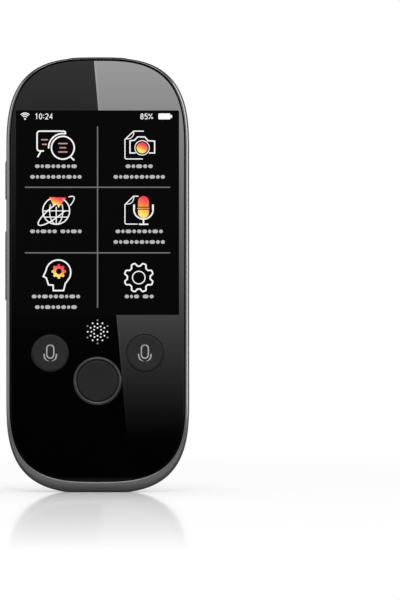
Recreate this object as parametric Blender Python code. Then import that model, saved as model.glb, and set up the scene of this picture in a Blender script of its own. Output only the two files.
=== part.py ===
"""Handheld voice translator: glass front, metal band, moulded rear cover and the parts inside.

Metres. X runs across the front, with the side keys at -X. Y runs from the front face at -Y to
the back. Z runs up from the small flat foot round the charging socket, whose middle is the origin.
"""

from math import cos, pi, radians, sin

import bmesh
import bpy
from mathutils import Vector

# Gaps between pieces
SEAM = 0.0002
FIT = 0.0003
SOLDER = 0.00015
OVERRUN = 0.002

# Facets of round forms
OUTLINE_STEPS = 15
ROUND_STEPS = 32
SMALL_STEPS = 16
HOLE_STEPS = 8
CORNER_STEPS = 4
EDGE_STEPS = 4
SMOOTH_ANGLE = radians(35)

# Body outline: straight sides, and two ends that are halves of a superellipse
BODY_WIDTH = 0.0535
BODY_HEIGHT = 0.1270
BODY_DEPTH = 0.0126
END_LENGTH = 0.0280
END_EXPONENT = 3.0
FOOT_CUT = 0.0003
FRONT_Y = -BODY_DEPTH / 2
BACK_Y = BODY_DEPTH / 2

# Cover glass, set into the band with a wider chin below it
GLASS_THICKNESS = 0.0008
GLASS_SIDE_INSET = 0.0012
GLASS_TOP_INSET = 0.0010
GLASS_CHIN = 0.0034
GLASS_TOP_LENGTH = 0.0270
GLASS_CHIN_LENGTH = 0.0240
GLASS_BEVEL = 0.00015
GLASS_BACK = FRONT_Y + GLASS_THICKNESS

# Display stack behind the glass: it reaches from its rise over the foot to its inset at the top
DISPLAY_RISE = 0.0509
DISPLAY_TOP_INSET = 0.0148
PANEL_SIDE_INSET = 0.00275
PANEL_THICKNESS = 0.0010
PANEL_CORNER = 0.0015
TRAY_THICKNESS = 0.0014
TRAY_LIP = 0.0001
PANEL_FRONT = GLASS_BACK + FIT
PANEL_BACK = PANEL_FRONT + PANEL_THICKNESS
TRAY_FRONT = PANEL_BACK + FIT
TRAY_BACK = TRAY_FRONT + TRAY_THICKNESS
PANEL_TOP = BODY_HEIGHT - DISPLAY_TOP_INSET
PANEL_BOTTOM = DISPLAY_RISE
PANEL_HEIGHT = PANEL_TOP - PANEL_BOTTOM
PANEL_WIDTH = BODY_WIDTH - 2 * PANEL_SIDE_INSET

# Band and its deck, the plate across it that carries everything else
RIM_DROP = 0.0001
RIM_DEPTH = 0.0018
BAND_END = 0.0020
BAND_ROUND = 0.0008
BAND_TUCK = 0.0006
BAND_WALL = 0.0015
LEDGE_WIDTH = 0.0005
DECK_THICKNESS = 0.0008
DECK_FRONT = TRAY_BACK + FIT
DECK_BACK = DECK_FRONT + DECK_THICKNESS

# Rear cover
COVER_START = BAND_END + FIT
COVER_WALL = 0.0012
COVER_SHOULDER = 0.0066
COVER_EXPONENT = 2.3
COVER_STEPS = 7

# Trim let into the top of the band
TRIM_LENGTH = 0.0169
TRIM_WIDTH = 0.0030
TRIM_PROUD = 0.0002
TRIM_SINK = 0.0010
TRIM_Y = -0.0014
TRIM_STEPS = 12

# Indicator light: rings of dots on a light guide, fed by one lamp
GUIDE_RADIUS = 0.0037
GUIDE_THICKNESS = 0.0007
DOTS_PER_RING = 6
DOT_RING_RADII = (0.00117, 0.00177, 0.00231, 0.00286, 0.00338)
DOT_RADIUS = 0.00027
DOT_HEIGHT = 0.00025
LAMP_SIZE = 0.0016
LAMP_THICKNESS = 0.0006
GUIDE_Z = PANEL_BOTTOM - FIT - GUIDE_RADIUS

# Front buttons and their switches
TALK_RADIUS = 0.0053
TALK_SPACING = 0.0276
TALK_DROP = 0.0062
TALK_FLANGE = 0.0006
HOME_RADIUS = 0.00595
HOME_DROP = 0.0081
HOME_FLANGE = 0.0007
RING_WIDTH = 0.00062
RING_GAP = 0.00028
RING_PROUD = 0.00005
RING_LIP = 0.0006
RING_LIP_THICKNESS = 0.00025
BUTTON_TRAVEL = 0.0003
BUTTON_BEVEL = 0.00012
BUTTON_FLANGE_THICKNESS = 0.0004
SWITCH_SIZE = 0.0045
SWITCH_THICKNESS = 0.0008
SWITCH_BORE = 0.0012
SWITCH_FLOOR = 0.0002
PLUNGER_RADIUS = 0.0009
TALK_Z = GUIDE_Z - TALK_DROP
HOME_Z = TALK_Z - HOME_DROP
HOME_RING_INNER = HOME_RADIUS + RING_GAP
HOME_RING_OUTER = HOME_RING_INNER + RING_WIDTH

# Button board under the front buttons
BUTTON_BOARD_THICKNESS = 0.0006
BUTTON_BOARD_MARGIN = 0.0042
BUTTON_BOARD_DROP = 0.0016
BUTTON_BOARD_WIDTH = TALK_SPACING + 2 * BUTTON_BOARD_MARGIN
BUTTON_BOARD_TOP = PANEL_BOTTOM - BUTTON_BOARD_DROP
BUTTON_BOARD_BACK = DECK_FRONT - FIT
BUTTON_BOARD_FRONT = BUTTON_BOARD_BACK - BUTTON_BOARD_THICKNESS
SWITCH_BACK = BUTTON_BOARD_FRONT - SOLDER
SWITCH_FRONT = SWITCH_BACK - SWITCH_THICKNESS

# Side keys at -X
KEY_Y = -0.0006
KEY_WIDTH = 0.0022
KEY_PROUD = 0.00047
KEY_BEVEL = 0.0002
KEY_FLANGE = 0.0005
KEY_FLANGE_THICKNESS = 0.0004
KEY_BACKLASH = 0.00035
POWER_LENGTH = 0.0113
POWER_TOP_INSET = 0.0358
VOLUME_LENGTH = 0.0203
VOLUME_TOP_INSET = 0.0608
VOLUME_SWITCH_SPACING = 0.0144
SIDE_SWITCH_DEPTH = 0.0023
SIDE_SWITCH_LENGTH = 0.0035
SIDE_SWITCH_WIDTH = 0.0018
SIDE_SWITCH_GAP = 0.0007
SIDE_PLUNGER_RADIUS = 0.0005
SIDE_BORE = 0.0007
SIDE_BORE_DEPTH = 0.0009
POWER_Z = BODY_HEIGHT - POWER_TOP_INSET
VOLUME_Z = BODY_HEIGHT - VOLUME_TOP_INSET
KEY_FACE_X = -BODY_WIDTH / 2 - KEY_PROUD
KEY_WALL_X = -BODY_WIDTH / 2 + BAND_WALL
KEY_FLANGE_X = KEY_WALL_X + KEY_BACKLASH
KEY_BACK_X = KEY_FLANGE_X + KEY_FLANGE_THICKNESS
SIDE_SWITCH_X = KEY_BACK_X + SIDE_SWITCH_GAP
SIDE_SWITCH_END_X = SIDE_SWITCH_X + SIDE_SWITCH_DEPTH

# Camera in the rear cover
CAMERA_TOP_INSET = 0.0348
BEZEL_OUTER = 0.00485
BEZEL_INNER = 0.0037
BEZEL_DEPTH = 0.0014
BEZEL_LIP = 0.0005
BEZEL_SLOPE = 0.0005
WINDOW_SINK = 0.0004
WINDOW_THICKNESS = 0.0005
LENS_RADIUS = 0.0013
LENS_HEIGHT = 0.0005
BARREL_RADIUS = 0.0027
BARREL_HEIGHT = 0.0016
MODULE_SIZE = 0.0085
CAMERA_Z = BODY_HEIGHT - CAMERA_TOP_INSET

# Speaker holes: arcs about a point above the camera, staggered from arc to arc
GRILLE_RISE = 0.0028
GRILLE_FIRST_RADIUS = 0.0069
GRILLE_ARC_STEP = 0.00126
GRILLE_ARCS = 9
GRILLE_ANGLE_STEP = radians(18)
GRILLE_HALF_COUNT = 3
HOLE_RADIUS = 0.0005
HOLE_SIZE_SHARES = (0.9, 1.0, 1.0, 1.0, 1.0, 0.95, 0.85, 0.75, 0.65)
GRILLE_Z = CAMERA_Z + GRILLE_RISE

# Loudspeaker behind the holes
SPEAKER_WIDTH = 0.0300
SPEAKER_HEIGHT = 0.0150
SPEAKER_CORNER = 0.0040
SPEAKER_THICKNESS = 0.0024
SPEAKER_CONE_RIM = 0.0014
SPEAKER_CONE_DEPTH = 0.0006
GASKET_THICKNESS = 0.0004
GASKET_RIM = 0.0012
MESH_THICKNESS = 0.0002
SPEAKER_Z = GRILLE_Z + GRILLE_FIRST_RADIUS + GRILLE_ARC_STEP * (GRILLE_ARCS - 1) / 2

# Main board
BOARD_THICKNESS = 0.0008
BOARD_STANDOFF = 0.0007
BOARD_TOP_INSET = 0.0090
BOARD_HEIGHT = 0.0620
BOARD_CORNER = 0.0060
BOARD_FRONT = DECK_BACK + BOARD_STANDOFF
BOARD_BACK = BOARD_FRONT + BOARD_THICKNESS
BOARD_TOP = BODY_HEIGHT - BOARD_TOP_INSET
BOARD_BOTTOM = BOARD_TOP - BOARD_HEIGHT
BOARD_LEFT_X = SIDE_SWITCH_END_X + FIT
BOARD_WIDTH = -2 * BOARD_LEFT_X

# Screws
SCREW_HEAD_RADIUS = 0.0012
SCREW_HEAD_THICKNESS = 0.0005
SCREW_SHANK_RADIUS = 0.0006
SCREW_BORE = 0.0008
SCREW_INSET = 0.0035
SCREW_X = BOARD_WIDTH / 2 - SCREW_INSET

# Components on the main board: each stands a gap or a rise from its neighbour or the board's edge
CAMERA_SOCKET_WIDTH = 0.0070
CAMERA_SOCKET_HEIGHT = 0.0022
CAMERA_SOCKET_THICKNESS = 0.0009
CAMERA_SOCKET_LOW = CAMERA_Z - MODULE_SIZE - FIT - CAMERA_SOCKET_HEIGHT
RADIO_SIZE = 0.0120
RADIO_THICKNESS = 0.0016
RADIO_GAP = 0.0011
RADIO_RISE = 0.0151
RADIO_LEFT = CAMERA_SOCKET_WIDTH / 2 + RADIO_GAP
SHIELD_THICKNESS = 0.0014
SHIELD_SCREW_GAP = 0.0012
SHIELD_RADIO_GAP = 0.0029
SHIELD_RISE = 0.0024
SHIELD_DROP = 0.0028
SHIELD_LEFT = -SCREW_X + SCREW_HEAD_RADIUS + SHIELD_SCREW_GAP
SHIELD_WIDTH = RADIO_LEFT - SHIELD_RADIO_GAP - SHIELD_LEFT
SHIELD_LOW = BOARD_BOTTOM + SHIELD_RISE
SHIELD_HEIGHT = CAMERA_SOCKET_LOW - SHIELD_DROP - SHIELD_LOW
CHARGER_SIZE = 0.0040
CHARGER_THICKNESS = 0.0008
CHARGER_GAP = 0.0014
CHARGER_RISE = 0.0054
BATTERY_SOCKET_WIDTH = 0.0050
BATTERY_SOCKET_HEIGHT = 0.0030
BATTERY_SOCKET_THICKNESS = 0.0012
BATTERY_SOCKET_GAP = 0.0023
BATTERY_SOCKET_RISE = 0.0019
BATTERY_SOCKET_LEFT = SCREW_X - SCREW_HEAD_RADIUS - BATTERY_SOCKET_GAP - BATTERY_SOCKET_WIDTH
BATTERY_SOCKET_LOW = BOARD_BOTTOM + BATTERY_SOCKET_RISE

# Charging socket, its board and the microphone beside it
SOCKET_WIDTH = 0.00894
SOCKET_HEIGHT = 0.00326
SOCKET_WALL = 0.0003
SOCKET_LENGTH = 0.0074
SOCKET_SINK = 0.0003
SOCKET_Y = -0.0014
TONGUE_WIDTH = 0.0067
TONGUE_THICKNESS = 0.0007
TONGUE_SINK = 0.0009
SOCKET_BOARD_SIDE_INSET = 0.01175
SOCKET_BOARD_HEIGHT = 0.0119
SOCKET_BOARD_THICKNESS = 0.0008
SOCKET_BOARD_CORNER = 0.0030
SOCKET_BOARD_RISE = 0.0020
SOCKET_BOARD_WIDTH = BODY_WIDTH - 2 * SOCKET_BOARD_SIDE_INSET
SOCKET_BOARD_LOW = BAND_WALL + SOCKET_BOARD_RISE
SOCKET_BOARD_HIGH = SOCKET_BOARD_LOW + SOCKET_BOARD_HEIGHT
MICROPHONE_X = 0.0078
MICROPHONE_RADIUS = 0.0010
MICROPHONE_HEIGHT = 0.0012
MICROPHONE_HOLE = 0.0004
BOOT_WALL = 0.00035

# Battery, between the socket board and the main board, and its lead
BATTERY_SIDE_INSET = 0.00675
BATTERY_THICKNESS = 0.0048
BATTERY_CORNER = 0.0012
BATTERY_WIDTH = BODY_WIDTH - 2 * BATTERY_SIDE_INSET
BATTERY_TOP = BOARD_BOTTOM - FIT
BATTERY_BOTTOM = SOCKET_BOARD_HIGH + FIT
BATTERY_HEIGHT = BATTERY_TOP - BATTERY_BOTTOM
LEAD_RADIUS = 0.0005

# Flexible circuits and the aerial
FLEX_THICKNESS = 0.0002
FLEX_WIDTH = 0.0080
FLEX_SIDE_INSET = 0.0102
FLEX_SLOT_HEIGHT = 0.0011
FLEX_OVERLAP = 0.0020
FLEX_LEAST_RUN = 0.0075
FLEX_OFFSET = BOARD_WIDTH / 2 - FLEX_SIDE_INSET
AERIAL_SIDE_INSET = 0.01675
AERIAL_WIDTH = 0.0030
AERIAL_LENGTH = BODY_WIDTH - 2 * AERIAL_SIDE_INSET

# Finishes: base colour, roughness, metallic
GLASS_BLACK = ((0.004, 0.004, 0.005), 0.04, 0.0)
BAND_METAL = ((0.10, 0.10, 0.105), 0.32, 0.85)
COVER_PLASTIC = ((0.035, 0.035, 0.036), 0.42, 0.0)
BUTTON_PLASTIC = ((0.030, 0.030, 0.031), 0.30, 0.0)
BRIGHT_RING = ((0.45, 0.45, 0.46), 0.22, 1.0)
LENS_GLASS = ((0.010, 0.012, 0.020), 0.03, 0.0)
CLEAR_GUIDE = ((0.85, 0.86, 0.88), 0.25, 0.0)
STEEL = ((0.60, 0.60, 0.60), 0.30, 1.0)
CIRCUIT_GREEN = ((0.020, 0.110, 0.055), 0.45, 0.0)
FLEX_AMBER = ((0.420, 0.190, 0.040), 0.40, 0.0)
DARK_PLASTIC = ((0.020, 0.020, 0.020), 0.50, 0.0)
WHITE_PLASTIC = ((0.80, 0.79, 0.76), 0.45, 0.0)
SOFT_RUBBER = ((0.030, 0.030, 0.030), 0.80, 0.0)
CELL_FOIL = ((0.18, 0.20, 0.22), 0.38, 0.6)


def remove_scene_objects():
    """Empty the scene, so the script can be run again."""
    for found in list(bpy.data.objects):
        bpy.data.objects.remove(found, do_unlink=True)


def section(axis, points, along):
    """Points of a flat outline, set at one place along an axis."""
    if axis == "X":
        return [Vector((along, u, v)) for u, v in points]
    if axis == "Y":
        return [Vector((u, along, v)) for u, v in points]
    return [Vector((u, v, along)) for u, v in points]


def loft(name, rings, finish, closed=False):
    """One closed solid through rings of equal point counts; a closed loft is a tube without caps."""
    mesh = bpy.data.meshes.new(name)
    work = bmesh.new()
    made = [[work.verts.new(point) for point in ring] for ring in rings]
    pairs = list(zip(made, made[1:]))
    if closed:
        pairs.append((made[-1], made[0]))
    for near, far in pairs:
        for index in range(len(near)):
            after = (index + 1) % len(near)
            work.faces.new((near[index], near[after], far[after], far[index]))
    if not closed:
        work.faces.new(made[0])
        work.faces.new(made[-1])
    bmesh.ops.recalc_face_normals(work, faces=work.faces)
    work.to_mesh(mesh)
    work.free()
    mesh.shade_smooth()
    mesh.set_sharp_from_angle(angle=SMOOTH_ANGLE)
    piece = bpy.data.objects.new(name, mesh)
    bpy.context.scene.collection.objects.link(piece)
    if finish:
        paint(piece, finish)
    return piece


def paint(piece, finish):
    """Give the piece a material of its own."""
    colour, roughness, metallic = finish
    coat = bpy.data.materials.new(piece.name + "_finish")
    coat.use_nodes = True
    shader = coat.node_tree.nodes["Principled BSDF"]
    shader.inputs["Base Color"].default_value = (*colour, 1.0)
    shader.inputs["Roughness"].default_value = roughness
    shader.inputs["Metallic"].default_value = metallic
    piece.data.materials.append(coat)


def combine(piece, other, operation):
    """Cut or join another solid, which is itself no piece of the model."""
    other.hide_render = True
    other.display_type = "WIRE"
    change = piece.modifiers.new(other.name, "BOOLEAN")
    change.operation = operation
    change.solver = "EXACT"
    change.object = other


def cut(piece, *cutters):
    for cutter in cutters:
        combine(piece, cutter, "DIFFERENCE")


def join_meshes(name, parts):
    """One object that holds several solids lying apart, to cut or join in one go."""
    mesh = bpy.data.meshes.new(name)
    work = bmesh.new()
    for part in parts:
        work.from_mesh(part.data)
        bpy.data.objects.remove(part, do_unlink=True)
    work.to_mesh(mesh)
    work.free()
    joined = bpy.data.objects.new(name, mesh)
    bpy.context.scene.collection.objects.link(joined)
    return joined


def set_origin(piece, pivot):
    """Move the piece's origin to its joint axis without moving the piece."""
    for vertex in piece.data.vertices:
        vertex.co -= Vector(pivot)
    piece.location = pivot


def circle(centre_u, centre_v, radius, steps=ROUND_STEPS):
    turns = [2 * pi * index / steps for index in range(steps)]
    return [(centre_u + radius * cos(turn), centre_v + radius * sin(turn)) for turn in turns]


def rounded_box(centre_u, centre_v, size_u, size_v, radius, steps=CORNER_STEPS):
    """Rectangle with round corners; a radius of half its width makes the ends half circles."""
    points = []
    corners = ((1, 1), (-1, 1), (-1, -1), (1, -1))
    for quarter, (side_u, side_v) in enumerate(corners):
        corner_u = centre_u + side_u * (size_u / 2 - radius)
        corner_v = centre_v + side_v * (size_v / 2 - radius)
        for step in range(steps + 1):
            turn = (quarter + step / steps) * pi / 2
            points.append((corner_u + radius * cos(turn), corner_v + radius * sin(turn)))
    return points


def plain_box(centre_u, centre_v, size_u, size_v):
    half_u = size_u / 2
    half_v = size_v / 2
    return [
        (centre_u + half_u, centre_v + half_v),
        (centre_u - half_u, centre_v + half_v),
        (centre_u - half_u, centre_v - half_v),
        (centre_u + half_u, centre_v - half_v),
    ]


def prism(name, axis, points, start, end, finish=None):
    return loft(name, [section(axis, points, start), section(axis, points, end)], finish)


def turned(name, axis, centre, profile, finish=None, steps=ROUND_STEPS, closed=False):
    """Turned piece whose profile lists radius and place along the axis."""
    rings = [section(axis, circle(*centre, radius, steps), along) for radius, along in profile]
    return loft(name, rings, finish, closed)


def quarter_shares(exponent, steps):
    """Shares of half width and end length along a quarter superellipse, with its normals.

    They run from the side to the tip, evenly spaced along the curve.
    """
    fine = steps * 40
    turns = [pi / 2 * index / fine for index in range(fine + 1)]
    curve = [(cos(turn) ** (2 / exponent), sin(turn) ** (2 / exponent)) for turn in turns]
    lengths = [0.0]
    for (u_before, v_before), (u_after, v_after) in zip(curve, curve[1:]):
        stretch = Vector((u_after - u_before, v_after - v_before)).length
        lengths.append(lengths[-1] + stretch)
    chosen = []
    for step in range(steps + 1):
        wanted = lengths[-1] * step / steps
        nearest = min(range(fine + 1), key=lambda index: abs(lengths[index] - wanted))
        chosen.append(curve[nearest])
    return chosen


def body_outline(half_width, bottom, top, bottom_length, top_length, inset=0.0):
    """Outline with straight sides and superellipse ends, moved inwards square to itself."""
    shares = quarter_shares(END_EXPONENT, OUTLINE_STEPS)
    points = []
    quarters = (
        (1, 1, shares),
        (-1, 1, shares[-2::-1]),
        (-1, -1, shares),
        (1, -1, shares[-2:0:-1]),
    )
    for side, end, run in quarters:
        length = top_length if end > 0 else bottom_length
        base = top - top_length if end > 0 else bottom + bottom_length
        for across, along in run:
            normal = Vector(
                (
                    side * across ** (END_EXPONENT - 1) / half_width,
                    end * along ** (END_EXPONENT - 1) / length,
                )
            ).normalized()
            u = side * across * half_width - normal.x * inset
            v = base + end * along * length - normal.y * inset
            points.append((u, v))
    return points


def outer_points(inset=0.0, on_foot=True):
    """The body's silhouette, cut level at the foot."""
    points = body_outline(
        BODY_WIDTH / 2, -FOOT_CUT, BODY_HEIGHT, END_LENGTH, END_LENGTH, inset
    )
    if on_foot:
        return [(u, max(v, 0.0)) for u, v in points]
    return points


def glass_points(inset=0.0):
    """The cover glass's outline."""
    return body_outline(
        BODY_WIDTH / 2 - GLASS_SIDE_INSET,
        GLASS_CHIN,
        BODY_HEIGHT - GLASS_TOP_INSET,
        GLASS_CHIN_LENGTH,
        GLASS_TOP_LENGTH,
        inset,
    )


def blend(near, far, share):
    return [
        (u0 + (u1 - u0) * share, v0 + (v1 - v0) * share)
        for (u0, v0), (u1, v1) in zip(near, far, strict=True)
    ]


def key_slot(name, centre_z, length, clearance):
    """Cutter for a side key, along X through the band's wall."""
    points = rounded_box(
        KEY_Y,
        centre_z,
        KEY_WIDTH + 2 * clearance,
        length + 2 * clearance,
        KEY_WIDTH / 2 + clearance,
    )
    return prism(name, "X", points, KEY_FACE_X - OVERRUN, KEY_WALL_X + OVERRUN)


def key_notch(name, centre_z, length):
    """Cutter that opens the deck's edge for a key's flange and the switches behind it."""
    width = KEY_WIDTH + 2 * (KEY_FLANGE + FIT)
    points = plain_box(KEY_Y, centre_z, width, length + 2 * (KEY_FLANGE + FIT))
    return prism(name, "X", points, KEY_WALL_X, BOARD_LEFT_X)


def socket_cutter(name, clearance, low, high):
    width = SOCKET_WIDTH + 2 * clearance
    height = SOCKET_HEIGHT + 2 * clearance
    points = rounded_box(0, SOCKET_Y, width, height, height / 2)
    return prism(name, "Z", points, low, high)


def make_mid_frame():
    """Band and deck in one casting: lofted from the deck out over the rim and round to the back."""
    rim = glass_points(-SEAM)
    ledge = glass_points(LEDGE_WIDTH)
    outer = outer_points()
    rim_y = FRONT_Y + RIM_DROP
    rings = [
        section("Y", ledge, DECK_FRONT),
        section("Y", ledge, GLASS_BACK + FIT),
        section("Y", rim, GLASS_BACK + FIT),
    ]
    for step in range(EDGE_STEPS + 1):
        turn = pi / 2 * step / EDGE_STEPS
        points = blend(rim, outer, sin(turn))
        rings.append(section("Y", points, rim_y + RIM_DEPTH * (1 - cos(turn))))
    for step in range(EDGE_STEPS + 1):
        turn = pi / 2 * step / EDGE_STEPS
        points = outer_points(BAND_TUCK * (1 - cos(turn)))
        rings.append(section("Y", points, BAND_END - BAND_ROUND * (1 - sin(turn))))
    inner = outer_points(BAND_WALL, on_foot=False)
    rings.append(section("Y", inner, BAND_END))
    rings.append(section("Y", inner, DECK_BACK))
    frame = loft("mid_frame", rings, BAND_METAL)
    flex_z = PANEL_BOTTOM - FIT - FLEX_SLOT_HEIGHT / 2
    slot_width = FLEX_WIDTH + 2 * FIT
    slots = [
        prism(
            "flex_slot",
            "Y",
            plain_box(side * FLEX_OFFSET, flex_z, slot_width, FLEX_SLOT_HEIGHT),
            DECK_FRONT - OVERRUN,
            DECK_BACK + OVERRUN,
        )
        for side in (-1, 1)
    ]
    microphone_hole = turned(
        "microphone_hole",
        "Z",
        (MICROPHONE_X, SOCKET_Y),
        [(MICROPHONE_HOLE, -OVERRUN), (MICROPHONE_HOLE, BAND_WALL + OVERRUN)],
        steps=SMALL_STEPS,
    )
    trim_seat = prism(
        "trim_seat",
        "Y",
        trim_points(SEAM, 2 * TRIM_PROUD),
        TRIM_Y - TRIM_WIDTH / 2 - SEAM,
        TRIM_Y + TRIM_WIDTH / 2 + SEAM,
    )
    cut(
        frame,
        join_meshes("flex_slots", slots),
        key_slot("power_slot", POWER_Z, POWER_LENGTH, SEAM),
        key_notch("power_notch", POWER_Z, POWER_LENGTH),
        key_slot("volume_slot", VOLUME_Z, VOLUME_LENGTH, SEAM),
        key_notch("volume_notch", VOLUME_Z, VOLUME_LENGTH),
        socket_cutter("socket_way", SEAM, -OVERRUN, SOCKET_SINK + SOCKET_LENGTH + FIT),
        microphone_way(),
        microphone_hole,
        trim_seat,
    )
    screw_bores = [
        prism(
            "screw_bore",
            "Y",
            circle(x, z, SCREW_BORE, SMALL_STEPS),
            DECK_FRONT - OVERRUN,
            DECK_BACK + OVERRUN,
        )
        for x, z in board_screw_places() + socket_screw_places()
    ]
    cut(frame, join_meshes("screw_bores", screw_bores))


def microphone_way():
    """Cutter in the foot wall and deck for the microphone and its boot."""
    radius = MICROPHONE_RADIUS + BOOT_WALL + FIT
    profile = [(radius, BAND_WALL / 2), (radius, microphone_top() + FIT)]
    return turned("microphone_way", "Z", (MICROPHONE_X, SOCKET_Y), profile, steps=SMALL_STEPS)


def microphone_top():
    return BAND_WALL / 2 + 2 * FIT + BOOT_WALL + MICROPHONE_HEIGHT


def trim_points(clearance, proud):
    """The top trim seen from the front: it follows the outline, a little proud of it."""
    half = TRIM_LENGTH / 2 + clearance
    places = [half * (2 * step / TRIM_STEPS - 1) for step in range(TRIM_STEPS + 1)]
    crest = [(x, outline_top(x) + proud) for x in places]
    seat = [(x, outline_top(x) - TRIM_SINK - clearance) for x in reversed(places)]
    return crest + seat


def outline_top(x):
    """Height of the body's outline over a place across the top."""
    share = (1 - abs(2 * x / BODY_WIDTH) ** END_EXPONENT) ** (1 / END_EXPONENT)
    return BODY_HEIGHT - END_LENGTH * (1 - share)


def make_top_trim():
    near = TRIM_Y - TRIM_WIDTH / 2
    far = TRIM_Y + TRIM_WIDTH / 2
    prism("top_trim", "Y", trim_points(0.0, TRIM_PROUD), near, far, COVER_PLASTIC)


def make_cover_glass():
    """Flat glass with a fine bevel, and round holes for the three front buttons."""
    rings = [
        section("Y", glass_points(GLASS_BEVEL), FRONT_Y),
        section("Y", glass_points(), FRONT_Y + GLASS_BEVEL),
        section("Y", glass_points(), GLASS_BACK),
    ]
    glass = loft("cover_glass", rings, GLASS_BLACK)
    holes = [
        prism(
            "glass_hole",
            "Y",
            circle(x, z, radius + SEAM),
            FRONT_Y - OVERRUN,
            GLASS_BACK + OVERRUN,
        )
        for x, z, radius in (
            (-TALK_SPACING / 2, TALK_Z, TALK_RADIUS),
            (TALK_SPACING / 2, TALK_Z, TALK_RADIUS),
            (0, HOME_Z, HOME_RING_OUTER),
        )
    ]
    cut(glass, join_meshes("glass_holes", holes))


def make_display():
    """Liquid crystal panel and the metal backlight tray behind it."""
    middle = (PANEL_TOP + PANEL_BOTTOM) / 2
    panel = rounded_box(0, middle, PANEL_WIDTH, PANEL_HEIGHT, PANEL_CORNER)
    prism("display_panel", "Y", panel, PANEL_FRONT, PANEL_BACK, GLASS_BLACK)
    tray_width = PANEL_WIDTH + 2 * TRAY_LIP
    tray = rounded_box(0, middle, tray_width, PANEL_HEIGHT, PANEL_CORNER)
    prism("backlight_tray", "Y", tray, TRAY_FRONT, TRAY_BACK, STEEL)


def make_indicator():
    """Light guide with a raised pip under each dot of the glass, and its lamp."""
    back = GLASS_BACK + FIT + DOT_HEIGHT + GUIDE_THICKNESS
    face = back - GUIDE_THICKNESS
    guide = turned(
        "light_guide", "Y", (0, GUIDE_Z), [(GUIDE_RADIUS, face), (GUIDE_RADIUS, back)], CLEAR_GUIDE
    )
    pips = []
    for ring, ring_radius in enumerate(DOT_RING_RADII):
        first = pi / DOTS_PER_RING * ((ring + 1) % 2)
        for index in range(DOTS_PER_RING):
            turn = first + 2 * pi * index / DOTS_PER_RING
            x = ring_radius * cos(turn)
            z = GUIDE_Z + ring_radius * sin(turn)
            points = circle(x, z, DOT_RADIUS, HOLE_STEPS)
            pips.append(prism("pip", "Y", points, face - DOT_HEIGHT, face + GUIDE_THICKNESS / 2))
    combine(guide, join_meshes("pips", pips), "UNION")
    lamp = plain_box(0, GUIDE_Z, LAMP_SIZE, LAMP_SIZE)
    lamp_back = BUTTON_BOARD_FRONT - SOLDER
    prism("indicator_lamp", "Y", lamp, lamp_back - LAMP_THICKNESS, lamp_back, WHITE_PLASTIC)


def make_button(name, x, z, radius, flange, flange_front):
    """Turned button cap that a flange keeps behind the glass."""
    flange_back = flange_front + BUTTON_FLANGE_THICKNESS
    profile = [
        (radius - BUTTON_BEVEL, FRONT_Y),
        (radius, FRONT_Y + BUTTON_BEVEL),
        (radius, flange_front),
        (radius + flange, flange_front),
        (radius + flange, flange_back),
    ]
    button = turned(name, "Y", (x, z), profile, BUTTON_PLASTIC)
    set_origin(button, (x, flange_back, z))
    return flange_back


def make_front_switch(button_name, x, z, flange_back):
    """Switch with an open well, and the plunger that the button pushes into it."""
    body = prism(
        button_name + "_switch",
        "Y",
        rounded_box(x, z, SWITCH_SIZE, SWITCH_SIZE, SWITCH_FLOOR),
        SWITCH_FRONT,
        SWITCH_BACK,
        STEEL,
    )
    well_end = SWITCH_BACK - SWITCH_FLOOR
    well = [(SWITCH_BORE, SWITCH_FRONT - OVERRUN), (SWITCH_BORE, well_end)]
    cut(body, turned(button_name + "_well", "Y", (x, z), well, steps=SMALL_STEPS))
    plunger_end = well_end - BUTTON_TRAVEL - SOLDER
    profile = [(PLUNGER_RADIUS, flange_back + SOLDER), (PLUNGER_RADIUS, plunger_end)]
    plunger = turned(
        button_name + "_plunger", "Y", (x, z), profile, WHITE_PLASTIC, steps=SMALL_STEPS
    )
    set_origin(plunger, (x, plunger_end, z))


def make_front_buttons():
    """Two talk buttons and the home button with its bright ring, on the button board."""
    for side, label in ((-1, "left"), (1, "right")):
        x = side * TALK_SPACING / 2
        name = "talk_button_" + label
        flange_front = GLASS_BACK + FIT
        flange_back = make_button(name, x, TALK_Z, TALK_RADIUS, TALK_FLANGE, flange_front)
        make_front_switch("talk_" + label, x, TALK_Z, flange_back)
    lip_front = GLASS_BACK + SOLDER
    lip_back = lip_front + RING_LIP_THICKNESS
    ring = [
        (HOME_RING_INNER, FRONT_Y),
        (HOME_RING_INNER + RING_WIDTH / 4, FRONT_Y - RING_PROUD),
        (HOME_RING_OUTER - RING_WIDTH / 4, FRONT_Y - RING_PROUD),
        (HOME_RING_OUTER, FRONT_Y),
        (HOME_RING_OUTER, lip_front),
        (HOME_RING_OUTER + RING_LIP, lip_front),
        (HOME_RING_OUTER + RING_LIP, lip_back),
        (HOME_RING_INNER, lip_back),
    ]
    turned("home_button_ring", "Y", (0, HOME_Z), ring, BRIGHT_RING, closed=True)
    flange_back = make_button(
        "home_button", 0, HOME_Z, HOME_RADIUS, HOME_FLANGE, lip_back + SOLDER
    )
    make_front_switch("home", 0, HOME_Z, flange_back)
    bottom = HOME_Z - BUTTON_BOARD_MARGIN
    height = BUTTON_BOARD_TOP - bottom
    middle = (BUTTON_BOARD_TOP + bottom) / 2
    points = rounded_box(0, middle, BUTTON_BOARD_WIDTH, height, BUTTON_BOARD_MARGIN)
    prism("button_board", "Y", points, BUTTON_BOARD_FRONT, BUTTON_BOARD_BACK, CIRCUIT_GREEN)


def key_ring(centre_z, length, grow, x):
    width = KEY_WIDTH + 2 * grow
    points = rounded_box(KEY_Y, centre_z, width, length + 2 * grow, width / 2)
    return section("X", points, x)


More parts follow.
